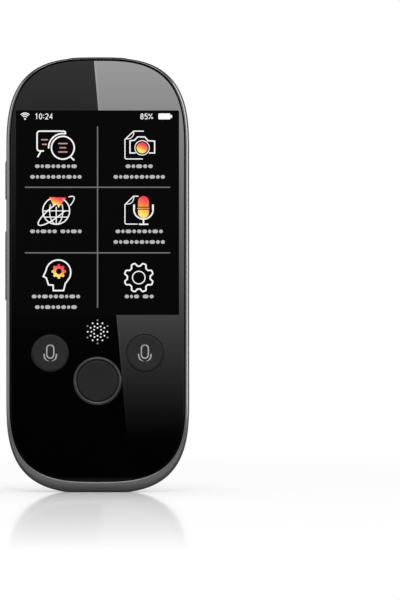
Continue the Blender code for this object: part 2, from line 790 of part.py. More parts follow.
def make_key(name, centre_z, length):
    """Side key: a bevelled face outside, a flange behind the band's wall."""
    rings = [
        key_ring(centre_z, length, -KEY_BEVEL, KEY_FACE_X),
        key_ring(centre_z, length, 0, KEY_FACE_X + KEY_BEVEL),
        key_ring(centre_z, length, 0, KEY_FLANGE_X),
        key_ring(centre_z, length, KEY_FLANGE, KEY_FLANGE_X),
        key_ring(centre_z, length, KEY_FLANGE, KEY_BACK_X),
    ]
    return loft(name, rings, BAND_METAL)


def make_side_switch(name, z, nose):
    """Side switch by the board's edge; nose is how far a fixed plunger stands out of it."""
    body = plain_box(KEY_Y, z, SIDE_SWITCH_WIDTH, SIDE_SWITCH_LENGTH)
    tip = plain_box(KEY_Y, z, 2 * SIDE_PLUNGER_RADIUS, 2 * SIDE_PLUNGER_RADIUS)
    rings = [section("X", body, SIDE_SWITCH_END_X), section("X", body, SIDE_SWITCH_X)]
    if nose:
        rings.append(section("X", tip, SIDE_SWITCH_X))
        rings.append(section("X", tip, SIDE_SWITCH_X - nose))
    return loft(name, rings, STEEL)


def make_side_keys():
    """Power key that slides in, and volume key that rocks about its middle."""
    power = make_key("power_key", POWER_Z, POWER_LENGTH)
    set_origin(power, (KEY_BACK_X, KEY_Y, POWER_Z))
    switch = make_side_switch("power_switch", POWER_Z, 0)
    well_end = SIDE_SWITCH_X + SIDE_BORE_DEPTH
    well = [(SIDE_BORE, SIDE_SWITCH_X - OVERRUN), (SIDE_BORE, well_end)]
    cut(switch, turned("power_well", "X", (KEY_Y, POWER_Z), well, steps=SMALL_STEPS))
    plunger_end = well_end - BUTTON_TRAVEL - SOLDER
    plunger = [
        (SIDE_PLUNGER_RADIUS, KEY_BACK_X + SOLDER),
        (SIDE_PLUNGER_RADIUS, plunger_end),
    ]
    turned(
        "power_plunger", "X", (KEY_Y, POWER_Z), plunger, WHITE_PLASTIC, steps=SMALL_STEPS
    )
    set_origin(bpy.data.objects["power_plunger"], (plunger_end, KEY_Y, POWER_Z))

    volume = make_key("volume_key", VOLUME_Z, VOLUME_LENGTH)
    set_origin(volume, (KEY_WALL_X, KEY_Y, VOLUME_Z))
    nose = SIDE_SWITCH_GAP - FIT
    for side, label in ((1, "up"), (-1, "down")):
        place = VOLUME_Z + side * VOLUME_SWITCH_SPACING / 2
        make_side_switch("volume_" + label + "_switch", place, nose)


def cover_profile(inset_start, depth_start, shoulder, back):
    """Insets and depths of a rear shell's wall, from its edge to the flat back."""
    shares = []
    for step in range(COVER_STEPS + 1):
        turn = pi / 2 * step / COVER_STEPS
        across = 1 - cos(turn) ** (2 / COVER_EXPONENT)
        along = sin(turn) ** (2 / COVER_EXPONENT)
        shares.append((across, along))
    return [
        (inset_start + across * (shoulder - inset_start), depth_start + along * (back - depth_start))
        for across, along in shares
    ]


def grille_places():
    """Centre and radius of each speaker hole."""
    places = []
    for arc in range(GRILLE_ARCS):
        arc_radius = GRILLE_FIRST_RADIUS + arc * GRILLE_ARC_STEP
        shift = (arc % 2) / 2
        first = -GRILLE_HALF_COUNT - shift
        for index in range(2 * GRILLE_HALF_COUNT + 1 + arc % 2):
            turn = (first + index) * GRILLE_ANGLE_STEP
            x = arc_radius * sin(turn)
            z = GRILLE_Z + arc_radius * cos(turn)
            places.append((x, z, HOLE_RADIUS * HOLE_SIZE_SHARES[arc]))
    return places


def make_rear_cover():
    """Moulded shell with rolled edges, speaker holes and the camera well."""
    inner = cover_profile(
        BAND_TUCK + COVER_WALL, COVER_START, COVER_SHOULDER + COVER_WALL, BACK_Y - COVER_WALL
    )
    outer = cover_profile(BAND_TUCK, COVER_START, COVER_SHOULDER, BACK_Y)
    rings = [section("Y", outer_points(inset), y) for inset, y in reversed(outer)]
    rings += [section("Y", outer_points(inset, on_foot=False), y) for inset, y in inner]
    cover = loft("rear_cover", rings, COVER_PLASTIC)
    holes = [
        prism(
            "speaker_hole",
            "Y",
            circle(x, z, radius, HOLE_STEPS),
            BACK_Y - COVER_WALL - OVERRUN,
            BACK_Y + OVERRUN,
        )
        for x, z, radius in grille_places()
    ]
    well = turned(
        "camera_well",
        "Y",
        (0, CAMERA_Z),
        [
            (BEZEL_OUTER + SEAM, BACK_Y - COVER_WALL - OVERRUN),
            (BEZEL_OUTER + SEAM, BACK_Y + OVERRUN),
        ],
    )
    cut(cover, join_meshes("speaker_holes", holes), well)


def make_camera():
    """Bezel, window, lens and module, from the back inwards."""
    bezel_front = BACK_Y - BEZEL_DEPTH
    window_back = BACK_Y - WINDOW_SINK
    window_front = window_back - WINDOW_THICKNESS
    bezel = [
        (BEZEL_OUTER, BACK_Y - RIM_DROP),
        (BEZEL_OUTER - BEZEL_SLOPE, BACK_Y),
        (BEZEL_INNER + SEAM, window_back),
        (BEZEL_INNER + SEAM, window_front - SOLDER),
        (BEZEL_INNER - BEZEL_LIP, window_front - SOLDER),
        (BEZEL_INNER - BEZEL_LIP, bezel_front),
        (BEZEL_OUTER, bezel_front),
    ]
    centre = (0, CAMERA_Z)
    turned("camera_bezel", "Y", centre, bezel, DARK_PLASTIC, closed=True)
    window = [(BEZEL_INNER, window_front), (BEZEL_INNER, window_back)]
    turned("camera_window", "Y", centre, window, LENS_GLASS)
    lens_back = window_front - 2 * SOLDER
    lens_front = lens_back - LENS_HEIGHT
    lens = [(LENS_RADIUS, lens_front), (LENS_RADIUS, lens_back - LENS_HEIGHT / 2)]
    lens.append((LENS_RADIUS * 2 / 3, lens_back))
    turned("camera_lens", "Y", centre, lens, LENS_GLASS, steps=SMALL_STEPS)
    barrel_back = lens_front - SOLDER
    barrel_front = barrel_back - BARREL_HEIGHT
    body = rounded_box(0, CAMERA_Z, MODULE_SIZE, MODULE_SIZE, SWITCH_FLOOR, SMALL_STEPS // 4)
    module_front = BOARD_BACK + FLEX_THICKNESS + 2 * SOLDER
    module = prism("camera_module", "Y", body, module_front, barrel_front, DARK_PLASTIC)
    barrel = [(BARREL_RADIUS, barrel_front - SOLDER), (BARREL_RADIUS, barrel_back)]
    combine(module, turned("camera_barrel", "Y", centre, barrel), "UNION")
    ribbon_points = plain_box(0, CAMERA_Z - MODULE_SIZE / 2, MODULE_SIZE / 2, MODULE_SIZE)
    ribbon_front = BOARD_BACK + SOLDER
    prism(
        "camera_flex", "Y", ribbon_points, ribbon_front, ribbon_front + FLEX_THICKNESS, FLEX_AMBER
    )


def make_speaker():
    """Mesh, gasket and loudspeaker behind the speaker holes."""
    mesh_back = BACK_Y - COVER_WALL - SOLDER
    mesh_front = mesh_back - MESH_THICKNESS
    outline = rounded_box(0, SPEAKER_Z, SPEAKER_WIDTH, SPEAKER_HEIGHT, SPEAKER_CORNER)
    prism("speaker_mesh", "Y", outline, mesh_front, mesh_back, DARK_PLASTIC)
    gasket_back = mesh_front - SOLDER
    gasket_front = gasket_back - GASKET_THICKNESS
    hollow = rounded_box(
        0,
        SPEAKER_Z,
        SPEAKER_WIDTH - 2 * GASKET_RIM,
        SPEAKER_HEIGHT - 2 * GASKET_RIM,
        SPEAKER_CORNER - GASKET_RIM,
    )
    gasket = [
        section("Y", outline, gasket_front),
        section("Y", outline, gasket_back),
        section("Y", hollow, gasket_back),
        section("Y", hollow, gasket_front),
    ]
    loft("speaker_gasket", gasket, SOFT_RUBBER, closed=True)
    rim_back = gasket_front - SOLDER
    cone_rim = GASKET_RIM + SPEAKER_CONE_RIM
    cone = rounded_box(
        0,
        SPEAKER_Z,
        SPEAKER_WIDTH - 2 * cone_rim,
        SPEAKER_HEIGHT - 2 * cone_rim,
        SPEAKER_CORNER - GASKET_RIM,
    )
    speaker = [
        section("Y", outline, rim_back - SPEAKER_THICKNESS),
        section("Y", outline, rim_back),
        section("Y", hollow, rim_back),
        section("Y", cone, rim_back - SPEAKER_CONE_DEPTH),
    ]
    loft("loudspeaker", speaker, DARK_PLASTIC)


def board_screw_places():
    low = BOARD_BOTTOM + SCREW_INSET
    high = BOARD_TOP - 2 * SCREW_INSET
    return [(-SCREW_X, low), (SCREW_X, low), (-SCREW_X, high), (SCREW_X, high)]


def make_screw(name, x, z, seat_y, shank_end):
    """Pan head screw standing on the back of a board."""
    head = seat_y + SOLDER
    profile = [
        (SCREW_SHANK_RADIUS, shank_end),
        (SCREW_SHANK_RADIUS, head),
        (SCREW_HEAD_RADIUS, head),
        (SCREW_HEAD_RADIUS, head + SCREW_HEAD_THICKNESS / 2),
        (SCREW_HEAD_RADIUS - SCREW_SHANK_RADIUS / 2, head + SCREW_HEAD_THICKNESS),
    ]
    turned(name, "Y", (x, z), profile, STEEL, steps=SMALL_STEPS)


def make_chip(name, left, low, width, height, thickness, finish):
    """Flat component on the back of the main board, from its low left corner."""
    near = BOARD_BACK + SOLDER
    points = plain_box(left + width / 2, low + height / 2, width, height)
    prism(name, "Y", points, near, near + thickness, finish)


def make_main_board():
    """Main board with its screws, shield and larger components."""
    middle = (BOARD_TOP + BOARD_BOTTOM) / 2
    points = rounded_box(0, middle, BOARD_WIDTH, BOARD_HEIGHT, BOARD_CORNER)
    board = prism("main_board", "Y", points, BOARD_FRONT, BOARD_BACK, CIRCUIT_GREEN)
    bores = [
        prism(
            "board_bore",
            "Y",
            circle(x, z, SCREW_BORE, SMALL_STEPS),
            BOARD_FRONT - OVERRUN,
            BOARD_BACK + OVERRUN,
        )
        for x, z in board_screw_places()
    ]
    cut(board, join_meshes("board_bores", bores))
    for number, (x, z) in enumerate(board_screw_places(), 1):
        make_screw("board_screw_" + str(number), x, z, BOARD_BACK, DECK_FRONT)
    make_chip(
        "processor_shield",
        SHIELD_LEFT,
        SHIELD_LOW,
        SHIELD_WIDTH,
        SHIELD_HEIGHT,
        SHIELD_THICKNESS,
        STEEL,
    )
    make_chip(
        "radio_module",
        RADIO_LEFT,
        BOARD_BOTTOM + RADIO_RISE,
        RADIO_SIZE,
        RADIO_SIZE,
        RADIO_THICKNESS,
        STEEL,
    )
    make_chip(
        "charging_chip",
        SHIELD_LEFT + SHIELD_WIDTH + CHARGER_GAP,
        BOARD_BOTTOM + CHARGER_RISE,
        CHARGER_SIZE,
        CHARGER_SIZE,
        CHARGER_THICKNESS,
        DARK_PLASTIC,
    )
    make_chip(
        "battery_socket",
        BATTERY_SOCKET_LEFT,
        BATTERY_SOCKET_LOW,
        BATTERY_SOCKET_WIDTH,
        BATTERY_SOCKET_HEIGHT,
        BATTERY_SOCKET_THICKNESS,
        WHITE_PLASTIC,
    )
    make_chip(
        "camera_socket",
        -CAMERA_SOCKET_WIDTH / 2,
        CAMERA_SOCKET_LOW,
        CAMERA_SOCKET_WIDTH,
        CAMERA_SOCKET_HEIGHT,
        CAMERA_SOCKET_THICKNESS,
        DARK_PLASTIC,
    )


def make_battery():
    """Pouch cell glued to the deck, and the lead to its socket."""
    middle = (BATTERY_TOP + BATTERY_BOTTOM) / 2
    front = BOARD_FRONT
    points = rounded_box(0, middle, BATTERY_WIDTH, BATTERY_HEIGHT, BATTERY_CORNER)
    narrow = rounded_box(
        0,
        middle,
        BATTERY_WIDTH - BATTERY_CORNER,
        BATTERY_HEIGHT - BATTERY_CORNER,
        BATTERY_CORNER / 2,
    )
    back = front + BATTERY_THICKNESS
    rings = [
        section("Y", narrow, front),
        section("Y", points, front + BATTERY_CORNER / 2),
        section("Y", points, back - BATTERY_CORNER / 2),
        section("Y", narrow, back),
    ]
    loft("battery", rings, CELL_FOIL)
    lead_x = BATTERY_SOCKET_LEFT + BATTERY_SOCKET_WIDTH / 2
    lead_y = BOARD_BACK + SOLDER + BATTERY_SOCKET_THICKNESS / 2
    lead_end = BATTERY_SOCKET_LOW - SOLDER
    lead = [(LEAD_RADIUS, BATTERY_TOP + SOLDER), (LEAD_RADIUS, lead_end)]
    turned("battery_lead", "Z", (lead_x, lead_y), lead, SOFT_RUBBER, steps=HOLE_STEPS)


def socket_screw_places():
    x = SOCKET_BOARD_WIDTH / 2 - SCREW_INSET
    z = (SOCKET_BOARD_LOW + SOCKET_BOARD_HIGH) / 2
    return [(-x, z), (x, z)]


def make_socket():
    """Charging socket, its tongue and the board that carries it."""
    low = SOCKET_SINK
    high = SOCKET_SINK + SOCKET_LENGTH
    outer = rounded_box(0, SOCKET_Y, SOCKET_WIDTH, SOCKET_HEIGHT, SOCKET_HEIGHT / 2)
    hollow_height = SOCKET_HEIGHT - 2 * SOCKET_WALL
    hollow_width = SOCKET_WIDTH - 2 * SOCKET_WALL
    hollow = rounded_box(0, SOCKET_Y, hollow_width, hollow_height, hollow_height / 2)
    shell = [
        section("Z", outer, high),
        section("Z", outer, low),
        section("Z", hollow, low),
        section("Z", hollow, high - 2 * SOCKET_WALL),
    ]
    loft("socket_shell", shell, STEEL)
    tongue = plain_box(0, SOCKET_Y, TONGUE_WIDTH, TONGUE_THICKNESS)
    tip = plain_box(0, SOCKET_Y, TONGUE_WIDTH - TONGUE_THICKNESS, TONGUE_THICKNESS / 2)
    rings = [
        section("Z", tongue, high - 2 * SOCKET_WALL - SOLDER),
        section("Z", tongue, low + TONGUE_SINK + TONGUE_THICKNESS / 2),
        section("Z", tip, low + TONGUE_SINK),
    ]
    loft("socket_tongue", rings, DARK_PLASTIC)

    front = max(SOCKET_Y + SOCKET_HEIGHT / 2, DECK_BACK) + FIT
    back = front + SOCKET_BOARD_THICKNESS
    points = rounded_box(
        0,
        (SOCKET_BOARD_LOW + SOCKET_BOARD_HIGH) / 2,
        SOCKET_BOARD_WIDTH,
        SOCKET_BOARD_HEIGHT,
        SOCKET_BOARD_CORNER,
    )
    board = prism("socket_board", "Y", points, front, back, CIRCUIT_GREEN)
    bores = [
        prism(
            "socket_board_bore",
            "Y",
            circle(x, z, SCREW_BORE, SMALL_STEPS),
            front - OVERRUN,
            back + OVERRUN,
        )
        for x, z in socket_screw_places()
    ]
    cut(board, join_meshes("socket_board_bores", bores))
    for number, (x, z) in enumerate(socket_screw_places(), 1):
        make_screw("socket_screw_" + str(number), x, z, back, DECK_FRONT)


def make_microphone():
    """Microphone in a rubber boot over the pinhole in the foot."""
    centre = (MICROPHONE_X, SOCKET_Y)
    boot_low = BAND_WALL / 2 + SOLDER
    inside_low = boot_low + BOOT_WALL
    high = inside_low + SOLDER + MICROPHONE_HEIGHT
    inner = MICROPHONE_RADIUS + SOLDER
    boot = [
        (MICROPHONE_HOLE, boot_low),
        (inner + BOOT_WALL, boot_low),
        (inner + BOOT_WALL, high),
        (inner, high),
        (inner, inside_low),
        (MICROPHONE_HOLE, inside_low),
    ]
    turned("microphone_boot", "Z", centre, boot, SOFT_RUBBER, steps=SMALL_STEPS, closed=True)
    capsule = [(MICROPHONE_RADIUS, inside_low + SOLDER), (MICROPHONE_RADIUS, high)]
    turned("microphone", "Z", centre, capsule, STEEL, steps=SMALL_STEPS)


def thicken(path):
    """Both edges of a ribbon of one thickness along a path of straight runs."""
    near_edge = []
    far_edge = []
    corners = [Vector(point) for point in path]
    for index, corner in enumerate(corners):
        before = corners[max(index - 1, 0)]
        after = corners[min(index + 1, len(corners) - 1)]
        run_in = (corner - before if index else after - corner).normalized()
        run_out = (after - corner if after != corner else corner - before).normalized()
        square_in = Vector((-run_in.y, run_in.x))
        mitre = (square_in + Vector((-run_out.y, run_out.x))).normalized()
        shift = mitre * (FLEX_THICKNESS / 2 / mitre.dot(square_in))
        near_edge.append(tuple(corner + shift))
        far_edge.append(tuple(corner - shift))
    return near_edge + far_edge[::-1]


def make_flexes():
    """Ribbons from the display and the button board, through the deck to the main board.

    They end under the board, and run behind the deck for as long as their bend needs.
    """
    turn_z = PANEL_BOTTOM - FIT - FLEX_SLOT_HEIGHT / 2
    end_y = BOARD_FRONT - FIT - FLEX_THICKNESS / 2
    end_z = max(BOARD_BOTTOM + FLEX_OVERLAP, turn_z + FLEX_LEAST_RUN)
    display_y = (PANEL_FRONT + PANEL_BACK) / 2
    buttons_y = (BUTTON_BOARD_FRONT + BUTTON_BOARD_BACK) / 2
    for name, x, start_y, start_z in (
        ("display_flex", FLEX_OFFSET, display_y, PANEL_BOTTOM - SOLDER),
        ("button_flex", -FLEX_OFFSET, buttons_y, BUTTON_BOARD_TOP + SOLDER),
    ):
        path = [(start_y, start_z), (start_y, turn_z), (end_y, turn_z), (end_y, end_z)]
        prism(name, "X", thicken(path), x - FLEX_WIDTH / 2, x + FLEX_WIDTH / 2, FLEX_AMBER)


def make_aerial():
    """Aerial strip under the top of the band, behind the deck."""
    top = BODY_HEIGHT - BAND_WALL - 2 * FIT
    front = DECK_BACK + FIT
    points = plain_box(0, top - AERIAL_WIDTH / 2, AERIAL_LENGTH, AERIAL_WIDTH)
    prism("aerial", "Y", points, front, front + FLEX_THICKNESS, FLEX_AMBER)


def main():
    remove_scene_objects()
    make_mid_frame()
    make_top_trim()
    make_cover_glass()
    make_display()
    make_indicator()
    make_front_buttons()
    make_side_keys()
    make_rear_cover()
    make_camera()
    make_speaker()
    make_main_board()
    make_battery()
    make_socket()
    make_microphone()
    make_flexes()
    make_aerial()


main()
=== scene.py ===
"""Looks of a handheld voice translator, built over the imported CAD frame.

Metres, in the frame of the CAD: X runs across the front, the front faces -Y, and Z runs up from
the flat foot. Pieces are made in place, so a piece's own coordinates are places on the object.
"""

import logging
from dataclasses import dataclass
from enum import Enum
from functools import lru_cache
from math import cos, hypot, pi, radians, sin
from typing import Callable, Iterable, Mapping, Sequence, Union

import bmesh
import bpy
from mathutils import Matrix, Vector

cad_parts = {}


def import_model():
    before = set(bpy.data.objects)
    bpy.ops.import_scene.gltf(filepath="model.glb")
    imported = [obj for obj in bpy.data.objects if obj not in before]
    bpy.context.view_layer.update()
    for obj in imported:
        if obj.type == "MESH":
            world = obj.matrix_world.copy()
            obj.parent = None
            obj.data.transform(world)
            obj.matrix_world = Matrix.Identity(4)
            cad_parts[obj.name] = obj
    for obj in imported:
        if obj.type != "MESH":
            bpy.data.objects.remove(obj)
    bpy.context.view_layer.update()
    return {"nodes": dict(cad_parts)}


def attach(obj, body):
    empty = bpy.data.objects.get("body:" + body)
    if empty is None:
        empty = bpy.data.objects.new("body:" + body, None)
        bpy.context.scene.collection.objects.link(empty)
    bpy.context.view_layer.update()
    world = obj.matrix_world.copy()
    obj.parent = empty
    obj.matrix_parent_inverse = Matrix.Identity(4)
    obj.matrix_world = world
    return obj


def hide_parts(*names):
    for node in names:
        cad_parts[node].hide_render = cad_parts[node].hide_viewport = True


LOG = logging.getLogger("translator")

Point = tuple[float, float]
Colour = tuple[float, float, float]
Ring = list[Vector]
Value = Union["Term", float, Sequence[float]]

SHARP_ANGLE = radians(32)
OVERRUN = 0.002


# Shader maths


class Term:
    """One output in a material's node tree, on which plain expressions add Math nodes."""

    def __init__(self, graph: "Graph", socket: bpy.types.NodeSocket) -> None:
        """Keep the graph and the socket that the term stands for."""
        self.graph = graph
        self.socket = socket

    def _math(self, operation: str, first: Value, second: Value) -> "Term":
        """Add one Math node."""
        return self.graph.node("Math", {"operation": operation}, {0: first, 1: second})

    def __add__(self, other: Value) -> "Term":
        """Sum."""
        return self._math("ADD", self, other)

    def __sub__(self, other: Value) -> "Term":
        """Difference."""
        return self._math("SUBTRACT", self, other)

    def __rsub__(self, other: Value) -> "Term":
        """Difference from a number."""
        return self._math("SUBTRACT", other, self)

    def __mul__(self, other: Value) -> "Term":
        """Product."""
        return self._math("MULTIPLY", self, other)

    def __truediv__(self, other: Value) -> "Term":
        """Quotient."""
        return self._math("DIVIDE", self, other)

    def __rtruediv__(self, other: Value) -> "Term":
        """Quotient of a number by the term."""
        return self._math("DIVIDE", other, self)

    def __pow__(self, other: Value) -> "Term":
        """Power."""
        return self._math("POWER", self, other)

    def __rpow__(self, other: Value) -> "Term":
        """A number raised to the term."""
        return self._math("POWER", other, self)

    __radd__ = __add__
    __rmul__ = __mul__

    def wave(self, pitch: float) -> "Term":
        """Sine of the term with one swing in each pitch, between 0 and 1."""
        return self._math("SINE", self * (2 * pi / pitch), 0.0) * 0.5 + 0.5

    def above(self, least: float) -> "Term":
        """The term, held above a value."""
        return self._math("MAXIMUM", self, least)

    def between(self, low: float, high: float, start: float = 0.0, end: float = 1.0) -> "Term":
        """Smooth step of the term from start at low to end at high.

        Args:
            low: Value of the term where the step starts.
            high: Value of the term where the step ends.
            start: Result below low.
            end: Result above high.

        Returns:
            The stepped term.
        """
        settings = {"interpolation_type": "SMOOTHSTEP"}
        return self.graph.node("MapRange", settings, {0: self, 1: low, 2: high, 3: start, 4: end})


class Graph:
    """Node tree of one material or world, with the few moves that its finishes need."""

    def __init__(self, tree: bpy.types.NodeTree) -> None:
        """Empty the tree and start from there."""
        self.tree = tree
        tree.nodes.clear()
        self.shader: bpy.types.Node | None = None

    def node(
        self,
        kind: str,
        settings: Mapping[str, object] | None = None,
        sockets: Mapping[int | str, Value] | None = None,
        output: int | str = 0,
    ) -> Term:
        """Add a node: its settings first, then its sockets.

        Args:
            kind: Type of the node, without its leading ShaderNode.
            settings: Properties of the node; stops are the places and colours of a ramp.
            sockets: Values or links of its inputs, by place or name.
            output: Which output the term stands for.

        Returns:
            The chosen output as a term.
        """
        made = self.tree.nodes.new("ShaderNode" + kind)
        for key, setting in (settings or {}).items():
            if key == "stops":
                while len(made.color_ramp.elements) < len(setting):
                    made.color_ramp.elements.new(1.0)
                for element, (place, colour) in zip(made.color_ramp.elements, setting):
                    element.position = place
                    element.color = (*colour, 1.0)
            else:
                setattr(made, key, setting)
        for key, value in (sockets or {}).items():
            self.feed(made.inputs[key], value)
        return Term(self, made.outputs[output])

    def end(self, kind: str, shader: Term) -> None:
        """Add the tree's output node and link the shader to it."""
        made = self.tree.nodes.new("ShaderNode" + kind)
        self.tree.links.new(shader.socket, made.inputs[0])

    def feed(self, socket: bpy.types.NodeSocket, value: Value) -> None:
        """Link a term to a socket, or set its value."""
        if isinstance(value, Term):
            self.tree.links.new(value.socket, socket)
        elif isinstance(value, tuple) and len(value) == 3 and socket.type == "RGBA":
            socket.default_value = (*value, 1.0)
        else:
            socket.default_value = value

    def place(self, stretch: tuple[float, float, float] | None = None) -> Term:
        """Place on the object, in metres, or stretched along its axes."""
        where = self.node("TexCoord", output="Object")
        if stretch is None:
            return where
        return self.node("VectorMath", {"operation": "MULTIPLY"}, {0: where, 1: stretch})

    def axes(self) -> tuple[Term, Term, Term]:
        """The three coordinates of the place on the object."""
        made = self.node("SeparateXYZ", sockets={0: self.place()}).socket.node
        return tuple(Term(self, made.outputs[index]) for index in range(3))

    def noise(self, size: float, detail: float = 2.0, where: Term | None = None) -> Term:
        """Noise whose features are about one size, between 0 and 1."""
        sockets = {"Vector": where or self.place(), "Scale": 1 / size, "Detail": detail}
        return self.node("TexNoise", sockets=sockets)

    def cells(self, size: float, feature: str = "F1", where: Term | None = None) -> Term:
        """Distance pattern of random cells of about one size."""
        sockets = {"Vector": where or self.place(), "Scale": 1 / size}
        return self.node("TexVoronoi", {"feature": feature}, sockets, "Distance")

    def mix(self, share: Value, near: Value, far: Value) -> Term:
        """Blend two colours."""
        return self.node("Mix", {"data_type": "RGBA"}, {0: share, 6: near, 7: far}, 2)

    def surface(self, **values: Value) -> None:
        """Make the Principled shader and set its sockets, named with underscores.

        Args:
            **values: Values or links, such as Base_Color or Roughness.
        """
        if self.shader is None:
            self.shader = self.tree.nodes.new("ShaderNodeBsdfPrincipled")
            end = self.tree.nodes.new("ShaderNodeOutputMaterial")
            self.tree.links.new(self.shader.outputs[0], end.inputs[0])
        for key, value in values.items():
            self.feed(self.shader.inputs[key.replace("_", " ")], value)

    def bump(self, height: Term, depth: float) -> None:
        """Feed the surface's normal from a height of 0 to 1 and its depth in metres."""
        sockets = {"Height": height, "Distance": depth, "Strength": 1.0}
        self.surface(Normal=self.node("Bump", sockets=sockets))


# Finishes


def shade(colour: Colour, share: float) -> Colour:
    """The colour made lighter or darker by a share."""
    return tuple(channel * share for channel in colour)


def new_material(name: str) -> tuple[bpy.types.Material, Graph]:
    """Make a material.

    Args:
        name: Name of the material.

    Returns:
        The material and the graph of its emptied tree.
    """
    made = bpy.data.materials.new(name)
    made.use_nodes = True
    return made, Graph(made.node_tree)


@dataclass(frozen=True)
class Finish:
    """A named finish that makes its material once."""

    name: str

    def paint(self, graph: Graph) -> None:
        """Add the finish's nodes to an empty graph."""
        raise NotImplementedError

    @lru_cache(maxsize=None)
    def material(self) -> bpy.types.Material:
        """The finish's material, made at its first use."""
        made, graph = new_material(self.name)
        self.paint(graph)
        return made


class Grain(Enum):
    """Ways in which a surface is grained."""

    BLASTED = "even fine noise"
    MOULDED = "round pits of a sparked mould"
    BRUSHED = "long scratches along Z"


@dataclass(frozen=True)
class Grained(Finish):
    """Metal, plastic or rubber with a fine grain and a slow change of sheen."""

    colour: Colour
    roughness: float
    metallic: float = 0.0
    grain: Grain = Grain.BLASTED
    size: float = 0.00012
    depth: float = 0.000004
    spread: float = 0.08
    coat: float = 0.0
    edge_tint: float = 1.0
    shine: float = 0.5

    def paint(self, graph: Graph) -> None:
        """Grain in the normal, and slow noise in colour and roughness."""
        cloud = graph.noise(self.size * 60, 3.0)
        if self.grain is Grain.MOULDED:
            fine = graph.cells(self.size, "SMOOTH_F1")
        elif self.grain is Grain.BRUSHED:
            fine = graph.noise(self.size, 3.0, graph.place((1.0, 1.0, 0.02)))
        else:
            fine = graph.noise(self.size, 3.0)
        graph.surface(
            Base_Color=self.tone(graph, cloud * 0.6 + fine * 0.4),
            Roughness=self.roughness * (cloud * 0.2 + fine * 0.2 + 0.8),
            Metallic=self.metallic,
            Coat_Weight=self.coat,
            Coat_Roughness=0.2,
            Specular_IOR_Level=self.shine,
            Specular_Tint=(self.edge_tint, self.edge_tint, self.edge_tint),
        )
        graph.bump(fine, self.depth)

    def tone(self, graph: Graph, share: Term) -> Term:
        """Colour between a darker and a lighter shade."""
        dark = shade(self.colour, 1 - self.spread)
        return graph.mix(share, dark, shade(self.colour, 1 + self.spread))


@dataclass(frozen=True)
class BandMetal(Grained):
    """Blasted metal whose rear edge is painted darker: painted shade where the cover beside it shades
    the band.
    """

    rear: Point = (0.0008, 0.0016)
    painted_rear_shade: float = 0.2

    def tone(self, graph: Graph, share: Term) -> Term:
        """Painted shade: darker towards the rear edge."""
        # Painted shade: over the rear edge the colour is mixed towards a dark share of itself.
        back = graph.axes()[1].between(*self.rear)
        return graph.mix(back, super().tone(graph, share), shade(self.colour, self.painted_rear_shade))


@dataclass(frozen=True)
class ShoulderHighlightPaint(Grained):
    """Dark metallic paint with a painted highlight: a lighter colour in a band along the rolled
    shoulder.
    """

    painted_highlight: Colour = (0.19, 0.19, 0.19)
    outer: Point = (0.0046, 0.0058)
    inner: Point = (0.00612, 0.00630)

    def tone(self, graph: Graph, share: Term) -> Term:
        """Painted highlight colour on the shoulder, the dark paint colour elsewhere."""
        depth = graph.axes()[1]
        # Painted highlight: a lighter band across the shoulder, set by depth along Y.
        highlight_share = depth.between(*self.outer) * (1.0 - depth.between(*self.inner))
        return graph.mix(highlight_share, super().tone(graph, share), self.painted_highlight)


@dataclass(frozen=True)
class InkedGlass(Finish):
    """Glass printed black on its back, polished, with a faint haze of wipe marks."""

    colour: Colour = (0.0008, 0.0008, 0.0010)
    haze: float = 2.5

    def paint(self, graph: Graph) -> None:
        """Wipe marks as stretched noise, a hair lighter than the ink."""
        marks = graph.noise(0.006, 4.0, graph.place((1.0, 1.0, 0.35)))
        film = marks.between(0.55, 0.90)
        fade = graph.mix(film, self.colour, shade(self.colour, self.haze))
        graph.surface(Base_Color=fade, Roughness=0.0)


@dataclass(frozen=True)
class DisplayBlack(Finish):
    """The display's dark face with its grid of cells, under an anti-glare film."""

    pitch: float = 0.00012
    colour: Colour = (0.0006, 0.0006, 0.0008)

    def paint(self, graph: Graph) -> None:
        """Rows and columns of cells, a hair lighter than the lines between them."""
        across, _, up = graph.axes()
        grid = across.wave(self.pitch / 3) * up.wave(self.pitch)
        graph.surface(
            Base_Color=graph.mix(grid, self.colour, shade(self.colour, 3.0)),
            Roughness=grid * 0.1 + 0.35,
            Specular_IOR_Level=0.04,
        )


@dataclass(frozen=True)
class Glow(Finish):
    """Lit marks of one colour, with the display's cells faint in them."""

    colour: Colour = (1.0, 1.0, 1.0)
    pitch: float = 0.00012

    def paint(self, graph: Graph) -> None:
        """Cells as a slight beat in the light."""
        across, _, up = graph.axes()
        beat = across.wave(self.pitch) * up.wave(self.pitch)
        graph.surface(
            Base_Color=(0.0, 0.0, 0.0),
            Roughness=0.5,
            Specular_IOR_Level=0.0,
            Emission_Color=graph.mix(beat, shade(self.colour, 0.94), self.colour),
            Emission_Strength=1.0,
        )


@dataclass(frozen=True)
class WarmGlow(Finish):
    """Lit marks that run from yellow at the low left to rose at the high right."""

    centre: Point = (0.0, 0.0)
    reach: float = 0.002

    def paint(self, graph: Graph) -> None:
        """Gradient along the diagonal through the mark."""
        across, _, up = graph.axes()
        along = (across - self.centre[0]) * 0.45 + (up - self.centre[1])
        share = along.between(-self.reach, self.reach)
        stops = (
            (0.05, (1.0, 0.80, 0.20)),
            (0.50, (1.0, 0.30, 0.05)),
            (0.95, (0.90, 0.06, 0.11)),
        )
        colours = graph.node("ValToRGB", {"stops": stops}, {0: share})
        graph.surface(
            Base_Color=(0.0, 0.0, 0.0),
            Roughness=0.5,
            Specular_IOR_Level=0.0,
            Emission_Color=colours,
            Emission_Strength=1.0,
        )


